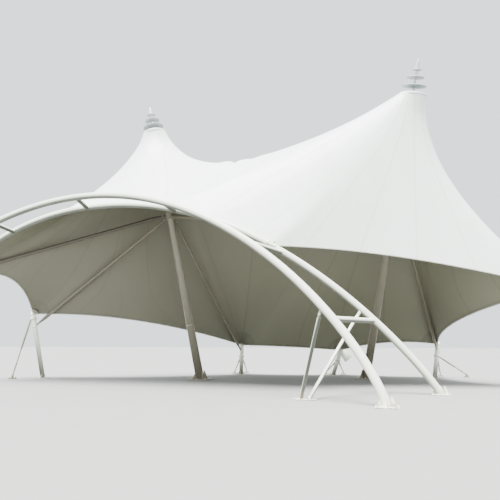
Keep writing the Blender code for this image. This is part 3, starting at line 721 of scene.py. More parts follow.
def turned(profile, place, direction, sides=48, angle=30):
    """A turned piece: a circle extruded and resized along a profile of (radius, height) pairs."""
    radius, height = profile[0]
    deselect()
    bpy.ops.mesh.primitive_circle_add(vertices=sides, radius=max(radius, 0.001), location=(0, 0, height))
    piece = bpy.context.object
    settle(piece)
    edit(piece)
    for next_radius, next_height in profile[1:]:
        bpy.ops.mesh.extrude_region_move(TRANSFORM_OT_translate={"value": (0, 0, next_height - height)})
        scale = max(next_radius, 0.001) / max(radius, 0.001)
        bpy.ops.transform.resize(value=(scale, scale, 1), center_override=(0, 0, next_height))
        radius, height = next_radius, next_height
    close_edit(0.0001, fill=True)
    piece.rotation_mode = "QUATERNION"
    piece.rotation_quaternion = turn_to(direction)
    piece.location = place
    settle(piece)
    soften(piece, angle)
    return piece


def sweep(points, radius, resolution):
    """A round tube along a line of points."""
    deselect()
    curve = bpy.data.curves.new("sweep", "CURVE")
    curve.dimensions = "3D"
    curve.bevel_depth = radius
    curve.bevel_resolution = resolution
    curve.use_fill_caps = True
    line = curve.splines.new("POLY")
    line.points.add(len(points) - 1)
    for place, point in zip(line.points, points):
        place.co = (*point, 1.0)
    piece = bpy.data.objects.new("sweep", curve)
    bpy.context.scene.collection.objects.link(piece)
    pick(piece)
    bpy.ops.object.convert(target="MESH")
    piece = bpy.context.object
    soften(piece)
    return piece


def bolt(place, direction, radius):
    """A washer, a hexagon head and a stub of thread."""
    along = direction.normalized() * radius
    return [bar(place + along * start, place + along * end, radius * wide, sides=sides)
            for start, end, wide, sides in BOLT_PARTS]


def deliver(pieces, name, maker, material_slot, *nodes):
    """Join pieces into one of that name, finish it, attach it to the root body and hide the CAD parts that it
    stands for.
    """
    pick(*pieces)
    if len(pieces) > 1:
        bpy.ops.object.join()
    piece = bpy.context.object
    piece.name = name
    piece.data.materials.clear()
    piece.data.materials.append(finish_of(maker))
    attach(piece, "root")
    if nodes:
        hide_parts(*nodes)


# Lines of the structure
def arch_point(arch, x):
    """A point on an arch tube's axis, X metres from the arch's middle."""
    share = min(abs(x) / arch["half_span"], 1.0)
    height = arch["height"] * (1 - share ** arch["wide"]) ** (1 / arch["tall"])
    y = arch["foot_y"] + (arch["crown_y"] - arch["foot_y"]) * height / arch["height"]
    return Vector((ARCH_MIDDLE_X + x, y, height))


def arch_place(arch, place):
    """A point on an arch tube's axis, at a place from -1 at the left foot to 1 at the right foot."""
    return arch_point(arch, arch["half_span"] * math.sin(place * arch["sweep"]) / math.sin(arch["sweep"]))


def mast_axis(side):
    foot = Vector(MASTS[side]["foot"])
    top = Vector(MASTS[side]["top"])
    return foot, top, (top - foot).normalized()


def cloth_corners():
    points = {name: np.array(data["head"]) for name, data in POSTS.items()}
    points["hold_left"] = np.array(arch_point(REAR_ARCH, HOLD_LEFT))
    points["hold_right"] = np.array(arch_point(REAR_ARCH, HOLD_RIGHT))
    points["valley"] = np.array(arch_point(REAR_ARCH, VALLEY))
    return points


def boundary(name, steps):
    """Points along one stretch of the cloth's boundary."""
    points = cloth_corners()
    share = np.linspace(0, 1, steps + 1)[:, None]
    if name in FRONT_EDGES:
        return np.array([arch_point(REAR_ARCH, x) for x in np.linspace(*FRONT_EDGES[name], steps + 1)])
    if name in ("valley", "yellav"):
        line = (1 - share) * points["valley"] + share * points["back_left"]
        return line if name == "valley" else line[::-1]
    start, end = (points[corner] for corner in FREE_EDGES[name])
    return (1 - share) * start + share * end + 4 * share * (1 - share) * np.array(EDGE_PULL[name])


# Cloth net
def ring_axes(side):
    _, _, axis = mast_axis(side)
    axis = np.array(axis)
    first = np.cross((0.0, 1.0, 0.0), axis)
    first /= np.linalg.norm(first)
    return first, np.cross(axis, first), axis


def ring_points(side, loop):
    """Where the line from each boundary point meets the peak ring."""
    top = np.array(MASTS[side]["top"])
    first, second, _ = ring_axes(side)
    away = loop - top
    angles = np.unwrap(np.arctan2(away[:, 1], away[:, 0]))
    even = angles[0] + np.arange(len(loop)) * 2 * math.pi / len(loop)
    angles = (angles + even - np.mean(even - angles)) / 2
    return top + RING_RADIUS * (np.cos(angles)[:, None] * first + np.sin(angles)[:, None] * second)


def relax(points, fixed, links, pulls):
    """Move the free points to where the links' pulls balance."""
    stiffness = np.zeros((len(points), len(points)))
    ends_a, ends_b = np.array(links).T
    pulls = np.array(pulls)
    np.add.at(stiffness, (ends_a, ends_a), pulls)
    np.add.at(stiffness, (ends_b, ends_b), pulls)
    np.add.at(stiffness, (ends_a, ends_b), -pulls)
    np.add.at(stiffness, (ends_b, ends_a), -pulls)
    free = ~fixed
    load = -stiffness[np.ix_(free, fixed)] @ points[fixed]
    points[free] = np.linalg.solve(stiffness[np.ix_(free, free)], load)
    return points


def lay_out_grids():
    """Number the net's points for both peaks; the valley's points belong to both."""
    points = []
    fixed = []
    grids = {}
    valley = {}
    steps = COLUMNS["valley"]
    for side, names in LOOPS.items():
        loop = np.vstack([boundary(name, COLUMNS[name])[:-1] for name in names])
        ring = ring_points(side, loop)
        grid = np.zeros((len(loop), ROWS + 1), int)
        for column in range(len(loop)):
            key = column if side == "left" else (len(loop) - column) % len(loop)
            on_valley = key <= steps
            for row in range(ROWS + 1):
                if row == ROWS and on_valley and key in valley:
                    grid[column, row] = valley[key]
                    continue
                if row == ROWS and on_valley:
                    valley[key] = len(points)
                grid[column, row] = len(points)
                share = row / ROWS
                points.append(ring[column] * (1 - share) + loop[column] * share)
                fixed.append(row == 0 or (row == ROWS and not (on_valley and 0 < key < steps)))
        grids[side] = grid
    return np.array(points), np.array(fixed), grids, valley


def hoop_pulls(side):
    """The pull of each hoop link, blended between the stated places on the boundary."""
    places = []
    values = []
    count = 0
    for name in LOOPS[side]:
        places += [count, count + COLUMNS[name] / 2]
        values += list(HOOP_PULL[side][name])
        count += COLUMNS[name]
    return np.exp(np.interp(np.arange(count) + 0.5, places + [count], np.log(values + values[:1])))


def cloth_net():
    """The relaxed net of both peaks, as a grid of points for each."""
    points, fixed, grids, valley = lay_out_grids()
    steps = COLUMNS["valley"]
    links = [(valley[step], valley[step + 1]) for step in range(steps)]
    pulls = [VALLEY_PULL * ((step + 0.5) / steps) ** 3 for step in range(steps)]
    for side, grid in grids.items():
        around = np.roll(grid, -1, axis=0)
        for row in range(ROWS):
            links += list(zip(grid[:, row], grid[:, row + 1]))
            pulls += [1.0] * len(grid)
        for row in range(1, ROWS):
            links += list(zip(grid[:, row], around[:, row]))
            pulls += list(hoop_pulls(side) * (1 + NECK_PULL[side] * (1 - row / ROWS) ** 4))
    points = relax(points, fixed, links, pulls)
    return {side: points[grid] for side, grid in grids.items()}


# Fine cloth surface
def between(before, start, end, after, share):
    """A smooth curve through start and end, by their neighbours."""
    return 0.5 * (2 * start + (end - before) * share
                  + (2 * before - 5 * start + 4 * end - after) * share ** 2
                  + (3 * start - before - 3 * end + after) * share ** 3)


def smooth_line(points, steps, closed):
    """Points on a smooth curve through the given ones, with that many steps between each two."""
    if closed:
        before, start = np.roll(points, 1, axis=0), points
        end, after = np.roll(points, -1, axis=0), np.roll(points, -2, axis=0)
    else:
        longer = np.concatenate([2 * points[:1] - points[1:2], points, 2 * points[-1:] - points[-2:-1]])
        before, start, end, after = longer[:-3], longer[1:-2], longer[2:-1], longer[3:]
    pieces = [between(before, start, end, after, step / steps) for step in range(steps)]
    line = np.stack(pieces, axis=1).reshape(-1, *points.shape[1:])
    return line if closed else np.concatenate([line, points[-1:]])


def run_of(line):
    """How far along a line each of its points is."""
    return np.concatenate([[0.0], np.cumsum(np.linalg.norm(np.diff(line, axis=0), axis=1))])


def at_run(line, places):
    run = run_of(line)
    return np.stack([np.interp(places, run, line[:, axis]) for axis in range(3)], axis=1)


def clear_of_ends(line, start_clear, end_clear):
    """The part of a line that is that far from its two ends."""
    run = run_of(line)
    start = run[np.argmax(np.linalg.norm(line - line[0], axis=1) > start_clear)]
    inside = np.linalg.norm(line - line[-1], axis=1) < end_clear
    end = run[np.argmax(inside)] if inside.any() else run[-1]
    return start, end


def stretches(side, steps):
    """Each stretch of a peak's boundary, with its first fine column and its number of them."""
    start = 0
    for name in LOOPS[side]:
        count = COLUMNS[name] * steps
        yield name, start, count
        start += count


def fine_grid(side, net, steps):
    """One peak's cloth as a fine grid, cut back from the arch tube and the corner plates."""
    grid = np.stack([smooth_line(net[:, row], steps, True) for row in range(ROWS + 1)], axis=1)
    *_, axis = ring_axes(side)
    top = np.array(MASTS[side]["top"])
    away = grid[:, 0] - top
    away -= (away @ axis)[:, None] * axis
    grid[:, 0] = top + RING_RADIUS * away / np.linalg.norm(away, axis=1)[:, None]
    corners = []
    for name, start, count in stretches(side, steps):
        coarse = net[start // steps:start // steps + COLUMNS[name] + 1, ROWS]
        if len(coarse) <= COLUMNS[name]:
            coarse = np.concatenate([coarse, net[:1, ROWS]])
        ends = [TUBE_CLEAR if corner == "valley" else CORNER_RADIUS for corner in STRETCH_ENDS[name]]
        if name.startswith("front"):
            line = boundary(name, count)
        else:
            dense = smooth_line(coarse, steps * 8, False)
            near, far = clear_of_ends(dense, *ends)
            inner = at_run(dense, np.linspace(near, far, count - 1))
            line = np.concatenate([coarse[:1], inner, coarse[-1:]])
        grid[start:start + count, ROWS] = line[:-1]
        corners.append((start, ends[0]))
    columns = np.stack([smooth_line(column, steps, False) for column in grid])
    cut_back(side, columns, steps, corners)
    return columns


def cut_back(side, columns, steps, corners):
    """Shorten the columns that end on the arch tube or at a corner."""
    clear = dict(corners)
    for name, start, count in stretches(side, steps):
        if name.startswith("front"):
            for column in range(start, start + count):
                clear[column] = max(clear.get(column, 0.0), TUBE_CLEAR)
    for column, distance in clear.items():
        line = columns[column]
        _, end = clear_of_ends(line, 0.0, distance)
        run = run_of(line)
        columns[column] = at_run(line, run * end / run[-1])


def cloth_mesh(grids, steps):
    """The whole membrane as one mesh, with the gore coordinate that its welds are drawn by."""
    places = []
    rims = []
    gores = []
    widths = []
    faces = []
    count = 0
    for side, grid in grids.items():
        columns, rows = grid.shape[:2]
        places.append(grid.reshape(-1, 3))
        rims.append(rim_distance(grid).ravel())
        index = count + np.arange(columns * rows).reshape(columns, rows)
        faces += corners_of(index, np.roll(index, -1, axis=0)).reshape(-1, 4).tolist()
        gore, width = gore_lines(side, grid, steps)
        gores.append(corners_of(gore[:-1], gore[1:]).ravel())
        widths.append(corners_of(width[:-1], width[1:]).ravel())
        count += columns * rows
    mesh = bpy.data.meshes.new("membrane")
    mesh.from_pydata(np.vstack(places).tolist(), [], faces)
    for name, values in (("gore", gores), ("gore_width", widths)):
        layer = mesh.attributes.new(name, "FLOAT", "CORNER")
        layer.data.foreach_set("value", np.concatenate(values).astype(np.float32))
    for name, values in (("rim", np.concatenate(rims)), ("patch", corner_distance(np.vstack(places)))):
        layer = mesh.attributes.new(name, "FLOAT", "POINT")
        layer.data.foreach_set("value", values.astype(np.float32))
    return mesh


def rim_distance(grid):
    """Metres from each fine point to the outer edge, along its column."""
    steps = np.linalg.norm(np.diff(grid, axis=1), axis=2)[:, ::-1]
    run = np.concatenate([np.zeros((len(grid), 1)), np.cumsum(steps, axis=1)], axis=1)
    return run[:, ::-1]


def corner_distance(places):
    """Metres from each point to the nearest corner or peak ring of the cloth."""
    spots = [place for name, place in cloth_corners().items() if name != "valley"]
    near = np.min([np.linalg.norm(places - spot, axis=1) for spot in spots], axis=0)
    rings = [np.linalg.norm(places - np.array(data["top"]), axis=1) - RING_RADIUS for data in MASTS.values()]
    return np.minimum(near, np.min(rings, axis=0) + 0.25)


def corners_of(near, beside):
    """The four corners of each cell between columns and the columns beside them."""
    return np.stack([near[:, :-1], near[:, 1:], beside[:, 1:], beside[:, :-1]], axis=-1)


def gore_lines(side, grid, steps):
    """At each fine point the gore coordinate, whole on each weld, and the gore's width there."""
    columns, rows = grid.shape[:2]
    column = np.arange(columns + 1) / steps
    closed = np.concatenate([grid, grid[:1]])
    around = np.linalg.norm(np.diff(closed, axis=0), axis=2)
    run = np.concatenate([np.zeros((1, rows)), np.cumsum(around, axis=0)])
    welds = np.array(WELDS[side] + ((columns / steps, columns / steps),))
    gore = np.zeros((columns + 1, rows))
    width = np.zeros((columns + 1, rows))
    for row in range(rows):
        share = (row / (rows - 1)) ** 1.5
        places = welds[:, 0] + (welds[:, 1] - welds[:, 0]) * share
        gore[:, row] = np.interp(column, places, np.arange(len(places)))
        runs = np.interp(places, column, run[:, row])
        middles = (places[:-1] + places[1:]) / 2
        width[:, row] = np.interp(column, middles, np.diff(runs))
    return gore, width


@functools.cache
def cloth_grids():
    """The fine grids of both peaks' cloth, worked out once."""
    steps = bpy.context.scene.dome_cloth.refine
    return {side: fine_grid(side, net, steps) for side, net in cloth_net().items()}


def cloth_edge(name):
    """The fine points of the cloth's edge along one stretch, between its corner fittings."""
    steps = bpy.context.scene.dome_cloth.refine
    side = next(side for side, names in LOOPS.items() if name in names)
    start, count = next(rest for stretch, *rest in stretches(side, steps) if stretch == name)
    return cloth_grids()[side][start + 1:start + count, -1]


class DOME_OT_cloth(bpy.types.Operator):
    """Stretch the one continuous membrane over both peaks"""

    bl_idname = "dome.cloth"
    bl_label = "Membrane"

    def execute(self, context):
        settings = context.scene.dome_cloth
        cloth = bpy.data.objects.new("membrane", cloth_mesh(cloth_grids(), settings.refine))
        context.scene.collection.objects.link(cloth)
        edit(cloth)
        close_edit(0.0005)
        if np.mean([face.normal.z for face in cloth.data.polygons]) < 0:
            cloth.data.flip_normals()
        cloth.data.materials.append(finish_of(cloth_top))
        cloth.data.materials.append(finish_of(cloth_underside))
        solid = cloth.modifiers.new("thickness", "SOLIDIFY")
        solid.thickness = settings.thickness
        solid.offset = -1.0
        solid.material_offset = 1
        solid.use_even_offset = True
        bpy.ops.object.modifier_apply(modifier=solid.name)
        soften(cloth, 60)
        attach(cloth, "root")
        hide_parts(*(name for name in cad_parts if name.startswith("membrane")))
        return {"FINISHED"}


# Fittings
def cut_at_ground(piece, height=0.003):
    """Cut away what goes below that height and close the end."""
    edit(piece)
    bpy.ops.mesh.bisect(plane_co=(0, 0, height), plane_no=(0, 0, -1), use_fill=True, clear_outer=True)
    bpy.ops.object.mode_set(mode="OBJECT")
    return piece


def band(kind):
    """The profile of a ring round a tube, with chamfered outer edges."""
    inner, outer, half, across, along = BANDS[kind]
    return ((inner, half), (outer - across, half), (outer, half - along),
            (outer, along - half), (outer - across, -half), (inner, -half))


def fin(place, outward, height, reach, thickness):
    """A triangular stiffener that stands on a plate against a tube."""
    middle = place + outward * reach / 2 + UP * height / 2
    piece = block((reach, thickness, height), middle, 0.002, (outward, UP.cross(outward), UP))
    for corner in piece.data.vertices:
        away = (corner.co - place).dot(outward)
        if away > reach / 2 and corner.co.z - place.z > height / 2:
            corner.co -= outward * reach * FIN_CUT
    return piece


def base(kind, foot):
    """A base plate on the ground with the stiffeners round its tube, and its anchor bolts."""
    data = BASES[kind]
    length, width, thickness = data["size"]
    foot = Vector((foot[0], foot[1], 0.0))
    plates = [block((length, width, thickness - 0.002), foot + UP * (thickness / 2 + 0.001), 0.004)]
    bolts = []
    for along, across in data["bolts"]:
        spot = Vector((along * (length / 2 - data["inset"]), across * (width / 2 - data["inset"]), thickness))
        bolts += bolt(foot + spot, UP, ANCHOR_BOLT)
    for turn in data["fin_turns"]:
        outward = Vector((math.cos(math.radians(turn)), math.sin(math.radians(turn)), 0))
        plates.append(fin(foot + outward * data["fin_start"] + UP * thickness, outward, *data["fin"]))
    return plates, bolts


def weld_bead(place, along, radius):
    """A low bead of weld round a tube."""
    deselect()
    bpy.ops.mesh.primitive_torus_add(
        major_radius=radius, minor_radius=WELD_RADIUS, major_segments=32, minor_segments=6,
        location=place, rotation=turn_to(along).to_euler())
    piece = bpy.context.object
    settle(piece)
    soften(piece, 180)
    return piece


def fork(pin, towards, across, size):
    """Two cheeks and a pin at the end of a rod; the lug that they hold points towards its carrier."""
    across = (across - towards * across.dot(towards)).normalized()
    axes = (towards, across, towards.cross(across))
    plates = []
    for length, thickness, width, forward, aside, edge in FORK_BLOCKS:
        middle = pin + (towards * forward + across * aside) * size
        plates.append(block((size * length, size * thickness, size * width), middle, edge, axes))
    outer = across * size * 0.62
    pins = [bar(pin - outer, pin + outer, size * 0.2, sides=16)]
    for side in (-1, 1):
        pins.append(bar(pin + across * side * size * 0.5, pin + outer * side, size * 0.34, sides=12))
    return plates, pins


# Arch
def arch_tube(name, arch, radius):
    """One arch tube with its weld beads, base plates and stiffeners; gives back its bolts."""
    line = [arch_place(arch, place) for place in np.linspace(-1, 1, 181)]
    line.insert(0, line[0] + (line[0] - line[1]).normalized() * BELOW_GROUND)
    line.append(line[-1] + (line[-1] - line[-2]).normalized() * BELOW_GROUND)
    pieces = [cut_at_ground(sweep(line, radius, 14))]
    for place in ARCH_BEADS:
        ahead = arch_place(arch, place + 0.01) - arch_place(arch, place - 0.01)
        pieces.append(weld_bead(arch_place(arch, place), ahead, radius - 0.004))
    hardware = []
    for side in (-1, 1):
        plates, bolts = base("arch", (ARCH_MIDDLE_X + side * arch["half_span"], arch["foot_y"]))
        pieces += plates
        hardware += bolts
    deliver(pieces, f"arch_{name}", painted_steel, "painted_steel", f"arch_tube_{name}")
    return hardware


def rung(number, front_place, rear_place, radius):
    """One tube between the two arch tubes, with a weld collar at each end."""
    start = arch_place(FRONT_ARCH, front_place)
    end = arch_place(REAR_ARCH, rear_place) - UP * RUNG_DROP
    along = (end - start).normalized()
    pieces = [bar(start + along * RUNG_START, end - along * RUNG_START, radius)]
    for spot, towards in ((start, along), (end, -along)):
        end_place = spot + towards * RUNG_COLLAR["end"]
        pieces.append(bar(spot + towards * RUNG_START, end_place, *RUNG_COLLAR["radii"]))
    deliver(pieces, f"rung_{number}", rung_paint, "painted_steel", f"arch_rung_{number}")


def props(name, side, tube_radius):
    """The two props of one arch leg with their clevises and shared plate; gives back its bolts and pins."""
    pieces = []
    hardware = []
    for arch, prop in ((FRONT_ARCH, FRONT_PROP), (REAR_ARCH, REAR_PROP)):
        top = arch_point(arch, side * prop["tube_x"])
        foot = Vector((ARCH_MIDDLE_X + side * prop["foot"][0], prop["foot"][1], PROP_FOOT))
        up = (top - foot).normalized()
        along = arch_point(arch, side * prop["tube_x"] + 0.1) - top
        pin = top - up * (tube_radius + PIN_CLEAR)
        plates, pins = fork(pin, up, along.cross(up), PROP_FORK)
        pieces += [cut_at_ground(bar(foot, pin - up * PROP_GAP, PROP_RADIUS), PROP_FOOT), *plates]
        hardware += pins
    middle = (ARCH_MIDDLE_X + side * (FRONT_PROP["foot"][0] + REAR_PROP["foot"][0]) / 2,
              (FRONT_PROP["foot"][1] + REAR_PROP["foot"][1]) / 2)
    plates, bolts = base("prop", middle)
    deliver(pieces + plates, f"props_{name}", rung_paint, "painted_steel", f"arch_prop_{name}")
    return hardware + bolts


class DOME_OT_arch(bpy.types.Operator):
    """Bend the two arch tubes, weld the rungs between them and stand them on their plates"""

    bl_idname = "dome.arch"
    bl_label = "Arch"

    def execute(self, context):
        steel = context.scene.dome_steel
        hardware = arch_tube("front", FRONT_ARCH, steel.tube_radius)
        hardware += arch_tube("rear", REAR_ARCH, steel.tube_radius)
        for number, places in enumerate(RUNGS, 1):
            rung(number, *places, steel.rung_radius)
        for name, side in (("left", -1), ("right", 1)):
            hardware += props(name, side, steel.tube_radius)
        deliver(hardware, "arch_bolts", zinc, "stay_steel")
        return {"FINISHED"}


# Masts and peaks
def collar_place(side):
    foot, top, axis = mast_axis(side)
    return foot.lerp(top, MASTS[side]["collar"]), axis


def mast_bracket(place, axis):
    """A small clamped bracket on the front of a mast."""
    front = Vector((0, -1, 0))
    front = (front - axis * front.dot(axis)).normalized()
    across = axis.cross(front)
    plates = [turned(band("bracket"), place, axis),
              block(BRACKET_BLOCK, place + front * BRACKET_OUT, 0.005, (across, front, axis))]
    bolts = []
    for aside in (-BRACKET_BOLTS["aside"], BRACKET_BOLTS["aside"]):
        bolts += bolt(place + front * BRACKET_BOLTS["out"] + across * aside, front, BRACKET_BOLTS["size"])
    return plates, bolts


def ring_outward(side, degrees):
    """A direction out from the middle of a peak ring, in its plane."""
    first, second, _ = ring_axes(side)
    angle = math.radians(degrees)
    return Vector(math.cos(angle) * first + math.sin(angle) * second)


def mast(side):
    """One raking mast with its collar, beads, base and peak spokes; gives back its bolts."""
    foot, top, axis = mast_axis(side)
    low, high = MAST_RADII
    pieces = [cut_at_ground(bar(foot - axis * 0.3, top - axis * 0.001, low, high, 48), 0.02)]
    pieces.append(turned(MAST_COLLAR, collar_place(side)[0], axis))
    for share in MAST_BEADS:
        pieces.append(weld_bead(foot.lerp(top, share), axis, low + (high - low) * share - 0.003))
    plates, hardware = base("mast", foot)
    pieces += plates
    if MASTS[side]["bracket"]:
        plates, bolts = mast_bracket(foot.lerp(top, MASTS[side]["bracket"]), axis)
        pieces += plates
        hardware += bolts
    # Inside the cone, eight spokes carry the peak ring from the mast head
    for spoke in range(8):
        outward = ring_outward(side, 45 * spoke + 22.5)
        start, end = (top - axis * down + outward * out for down, out in (SPOKE_FOOT, SPOKE_HEAD))
        pieces.append(bar(start, end, SPOKE_RADIUS, sides=12))
    deliver(pieces, f"mast_tube_{side}", mast_paint, "painted_steel", f"mast_{side}")
    return hardware


class DOME_OT_masts(bpy.types.Operator):
    """Raise the raking masts with their collars, stiffeners and plates"""

    bl_idname = "dome.masts"
    bl_label = "Masts"

    def execute(self, context):
        deliver(mast("left") + mast("right"), "mast_bolts", zinc, "stay_steel")
        return {"FINISHED"}


class DOME_OT_peaks(bpy.types.Operator):
    """Close the peaks with a rolled cap, a clamp band and the tiered finial"""

    bl_idname = "dome.peaks"
    bl_label = "Peaks"

    def execute(self, context):
        for side in MASTS:
            _, top, axis = mast_axis(side)
            finial = turned(FINIAL_PROFILE, top, axis, 48, 40)
            deliver([finial], f"finial_turned_{side}", finial_steel, "finial_steel", f"finial_{side}")
            deliver([turned(CAP_PROFILE, top, axis, 64, 50)], f"peak_cap_{side}", cap_cloth, "cloth")
            ring = [turned(profile, top, axis, 64) for profile in (RIM_PROFILE, RING_PLATE_PROFILE)]
            deliver(ring, f"ring_{side}", painted_steel, "painted_steel", f"peak_ring_{side}")
            clamp = [turned(CLAMP_BAND, top, axis, 64)]
            for turn in range(0, 360, PEAK_BOLTS["turn"]):
                outward = ring_outward(side, turn)
                spot = top + outward * PEAK_BOLTS["out"] - axis * PEAK_BOLTS["down"]
                clamp += bolt(spot, outward, PEAK_BOLTS["size"])
            deliver(clamp, f"clamp_band_{side}", zinc, "stay_steel")
        return {"FINISHED"}


# Struts
def post_point(name, drop):
    """A point on a post's axis, that far down from its head."""
    head = Vector(POSTS[name]["head"])
    foot = Vector((*POSTS[name]["foot"], 0.0))
    return head + (foot - head).normalized() * drop


def strut_start(side, name):
    middle, axis = collar_place(side)
    rise, aside = STRUT_STARTS[name]
    return middle + axis * rise + Vector((aside, 0.0, 0.0))


def strut_lines():
    """Each strut's node, its two ends on the axes that it joins, and the radius that it stops at."""
    lines = []
    for name, place in ARCH_STRUTS.items():
        end = arch_point(REAR_ARCH, place) + Vector(STRUT_SEAT)
        lines.append((f"strut_left_{name}", strut_start("left", name), end, STRUT_STOP))
    for side, name in (("left", "side_left"), ("left", "back_left"), ("right", "back_right"),
                       ("right", "side_right")):
        node = f"strut_{side}_{name.split('_')[0]}"
        lines.append((node, strut_start(side, name), post_point(name, POSTS[name]["drop"]), POST_RADIUS))
    return lines


def strut(name, start, end, reach):
    """One strut with tapered ends and a clevis at each; gives back its pins."""
    along = (end - start).normalized()
    across = collar_place(name.split("_")[1])[1].cross(along)
    near = COLLAR_RADIUS + PIN_CLEAR
    far = reach + PIN_CLEAR
    near_fork, near_pins = fork(start + along * near, -along, across, STRUT_FORK)
    far_fork, far_pins = fork(end - along * far, along, across, STRUT_FORK)
    body = (end - start).length - near - far
    profile = STRUT_END + tuple((radius, body - height) for radius, height in reversed(STRUT_END))
    pieces = [turned(profile, start + along * near, along, 32), *near_fork, *far_fork]
    for place in (STRUT_TAPER, body - STRUT_TAPER):
        pieces.append(weld_bead(start + along * (near + place), along, STRUT_RADIUS - 0.002))
    deliver(pieces, f"{name}_tube", dark_paint if name == DARK_STRUT else strut_paint, "painted_steel", name)
    return near_pins + far_pins


class DOME_OT_struts(bpy.types.Operator):
    """Run the tapered struts from the mast collars to the arch and the posts"""

    bl_idname = "dome.struts"
    bl_label = "Struts"

    def execute(self, context):
        pins = []
        for line in strut_lines():
            pins += strut(*line)
        deliver(pins, "strut_pins", zinc, "stay_steel")
        return {"FINISHED"}


# Corners and edges of the cloth
def edge_directions():
    """Unit directions of the two edges of the cloth that leave each corner."""
    directions = {}
    for name, (start, end) in FREE_EDGES.items():
        line = boundary(name, 24)
        for corner, near, far in ((start, line[0], line[1]), (end, line[-1], line[-2])):
            directions.setdefault(corner, []).append(Vector(far - near).normalized())
    for corner, place, run in (("hold_left", HOLD_LEFT, 0.1), ("hold_right", HOLD_RIGHT, -0.1)):
        along = arch_point(REAR_ARCH, place + run) - arch_point(REAR_ARCH, place - run)
        directions[corner].append(along.normalized())
    return directions


def sector(corner, first, normal, opening, size, rise=0.0):
    """A flat plate between two radii, spun about the corner of the cloth."""
    inner, outer, thickness = size
    deselect()
    bpy.ops.mesh.primitive_plane_add(size=1)
    piece = bpy.context.object
    third = first.cross(normal)
    turn = Matrix((first * (outer - inner), normal * thickness, third)).transposed().to_4x4()
    middle = corner + first * (inner + outer) / 2 + normal * rise
    piece.matrix_world = Matrix.Translation(middle) @ turn
    settle(piece)
    edit(piece)
    bpy.ops.mesh.spin(steps=12, angle=-opening, center=corner, axis=normal)
    close_edit(0.0001)
    bevel(piece, min(thickness, 0.01) * 0.3, 50)
    soften(piece)
    return piece


def corner_fitting(corner, first, second):
    """The fan plate at a corner of the cloth with the bars that clamp the cloth, and their bolts."""
    normal = first.cross(second).normalized()
    if normal.z < 0:
        first, second = second, first
        normal = -normal
    opening = first.angle(second)
    plates = [sector(corner, first, normal, opening, CORNER_PLATE)]
    for rise in (-BAR_RISE, BAR_RISE):
        plates.append(sector(corner, first, normal, opening, CLAMP_BAR, rise))
    bolts = []
    count = max(3, round(opening * CORNER_RADIUS / CORNER_BOLTS["gap"]))
    for number in range(count):
        angle = opening * (number + 0.5) / count
        away = math.cos(angle) * first + math.sin(angle) * normal.cross(first)
        for face in (-normal, normal):
            spot = corner + away * CORNER_BOLTS["out"] + face * CORNER_BOLTS["rise"]
            bolts += bolt(spot, face, CORNER_BOLTS["size"])
    return plates, bolts


class DOME_OT_edges(bpy.types.Operator):
    """Run the edge cables in their pockets from corner plate to corner plate"""

    bl_idname = "dome.edges"
    bl_label = "Edge cables"

    def execute(self, context):
        directions = edge_directions()
        corners = cloth_corners()
        for name, (start, end) in FREE_EDGES.items():
            line = [Vector(point) for point in cloth_edge(name)]
            hem = sweep(line[1:-1], context.scene.dome_cloth.pocket_radius, 3)
            deliver([hem], f"pocket_{name}", hem_cloth, "cloth")
            pieces = []
            pins = []
            for corner, first in ((start, line[0]), (end, line[-1])):
                place = Vector(corners[corner])
                towards = (first - place).normalized()
                pin = place + towards * CABLE_PIN
                across = directions[corner][0].cross(directions[corner][1])
                plates, heads = fork(pin, -towards, across, CABLE_FORK)
                near, far, wide, narrow = CABLE_SOCKET
                socket = bar(pin + towards * near, pin + towards * far, wide, narrow, 16)
                pieces += [*plates, *heads, socket]
                pins.append(pin)
            pieces.append(sweep([pins[0], *line, pins[1]], CABLE_RADIUS, 2))
            deliver(pieces, f"edge_cable_{name}", zinc, "stay_steel")
        return {"FINISHED"}


# Posts and stays
def tongue(head):
    """A plate with a rounded end that hangs from a corner of the cloth beside its post."""
    along = Vector(TONGUE["along"]).normalized()
    centre = head - along * TONGUE["back"]
    normal = along.cross(UP).normalized()
    half = math.radians(TONGUE["half"])
    first = Matrix.Rotation(-half, 3, normal) @ along
    return sector(centre, first, normal, 2 * half, TONGUE["size"])


def post(name, data):
    """One raking edge post with its head, sleeves, base and spike; gives back its bolts."""
    head = Vector(data["head"])
    foot = Vector((*data["foot"], 0.0))
    axis = (head - foot).normalized()
    pieces = [cut_at_ground(bar(foot - axis * 0.15, head - axis * 0.06, POST_RADIUS, sides=40), 0.015),
              turned(KNOB_PROFILE, head, axis, 40)]
    for drop, kind in ((data["drop"], "strut_sleeve"), (data["drop"] - SLEEVE_GAP, "head_sleeve")):
        pieces.append(turned(band(kind), post_point(name, drop), axis, 40))
    if data["spike"]:
        tip = ((0.0, data["spike"]), (0.007, data["spike"] - 0.01))
        pieces.append(turned(tip + SPIKE_FOOT, head, axis + Vector(SPIKE_LEAN), 24))
    if name == TONGUE_POST:
        pieces.append(tongue(head))
    plates, bolts = base("post", foot)
    deliver(pieces + plates, f"edge_post_{name}", painted_steel, "painted_steel", f"post_{name}")
    return bolts


class DOME_OT_posts(bpy.types.Operator):
    """Stand the raking edge posts with their heads, collars, corner plates and bases"""

    bl_idname = "dome.posts"
    bl_label = "Posts"

    def execute(self, context):
        directions = edge_directions()
        corners = []
        hardware = []
        for name, data in POSTS.items():
            hardware += post(name, data)
            plates, bolts = corner_fitting(Vector(data["head"]), *directions[name])
            corners += plates
            hardware += bolts
        deliver(corners, "corner_plates", mast_paint, "painted_steel")
        deliver(hardware, "post_bolts", zinc, "stay_steel")
        return {"FINISHED"}


def turnbuckle(middle, along):
    """The long sleeve that tightens a rod, with its two lock nuts."""
    half = along * NUT_HALF
    places = (middle - along * NUT_PLACE, middle + along * NUT_PLACE)
    nuts = [bar(place - half, place + half, NUT_RADIUS, sides=6) for place in places]
    return [turned(band("turnbuckle"), middle, along, 20), *nuts]


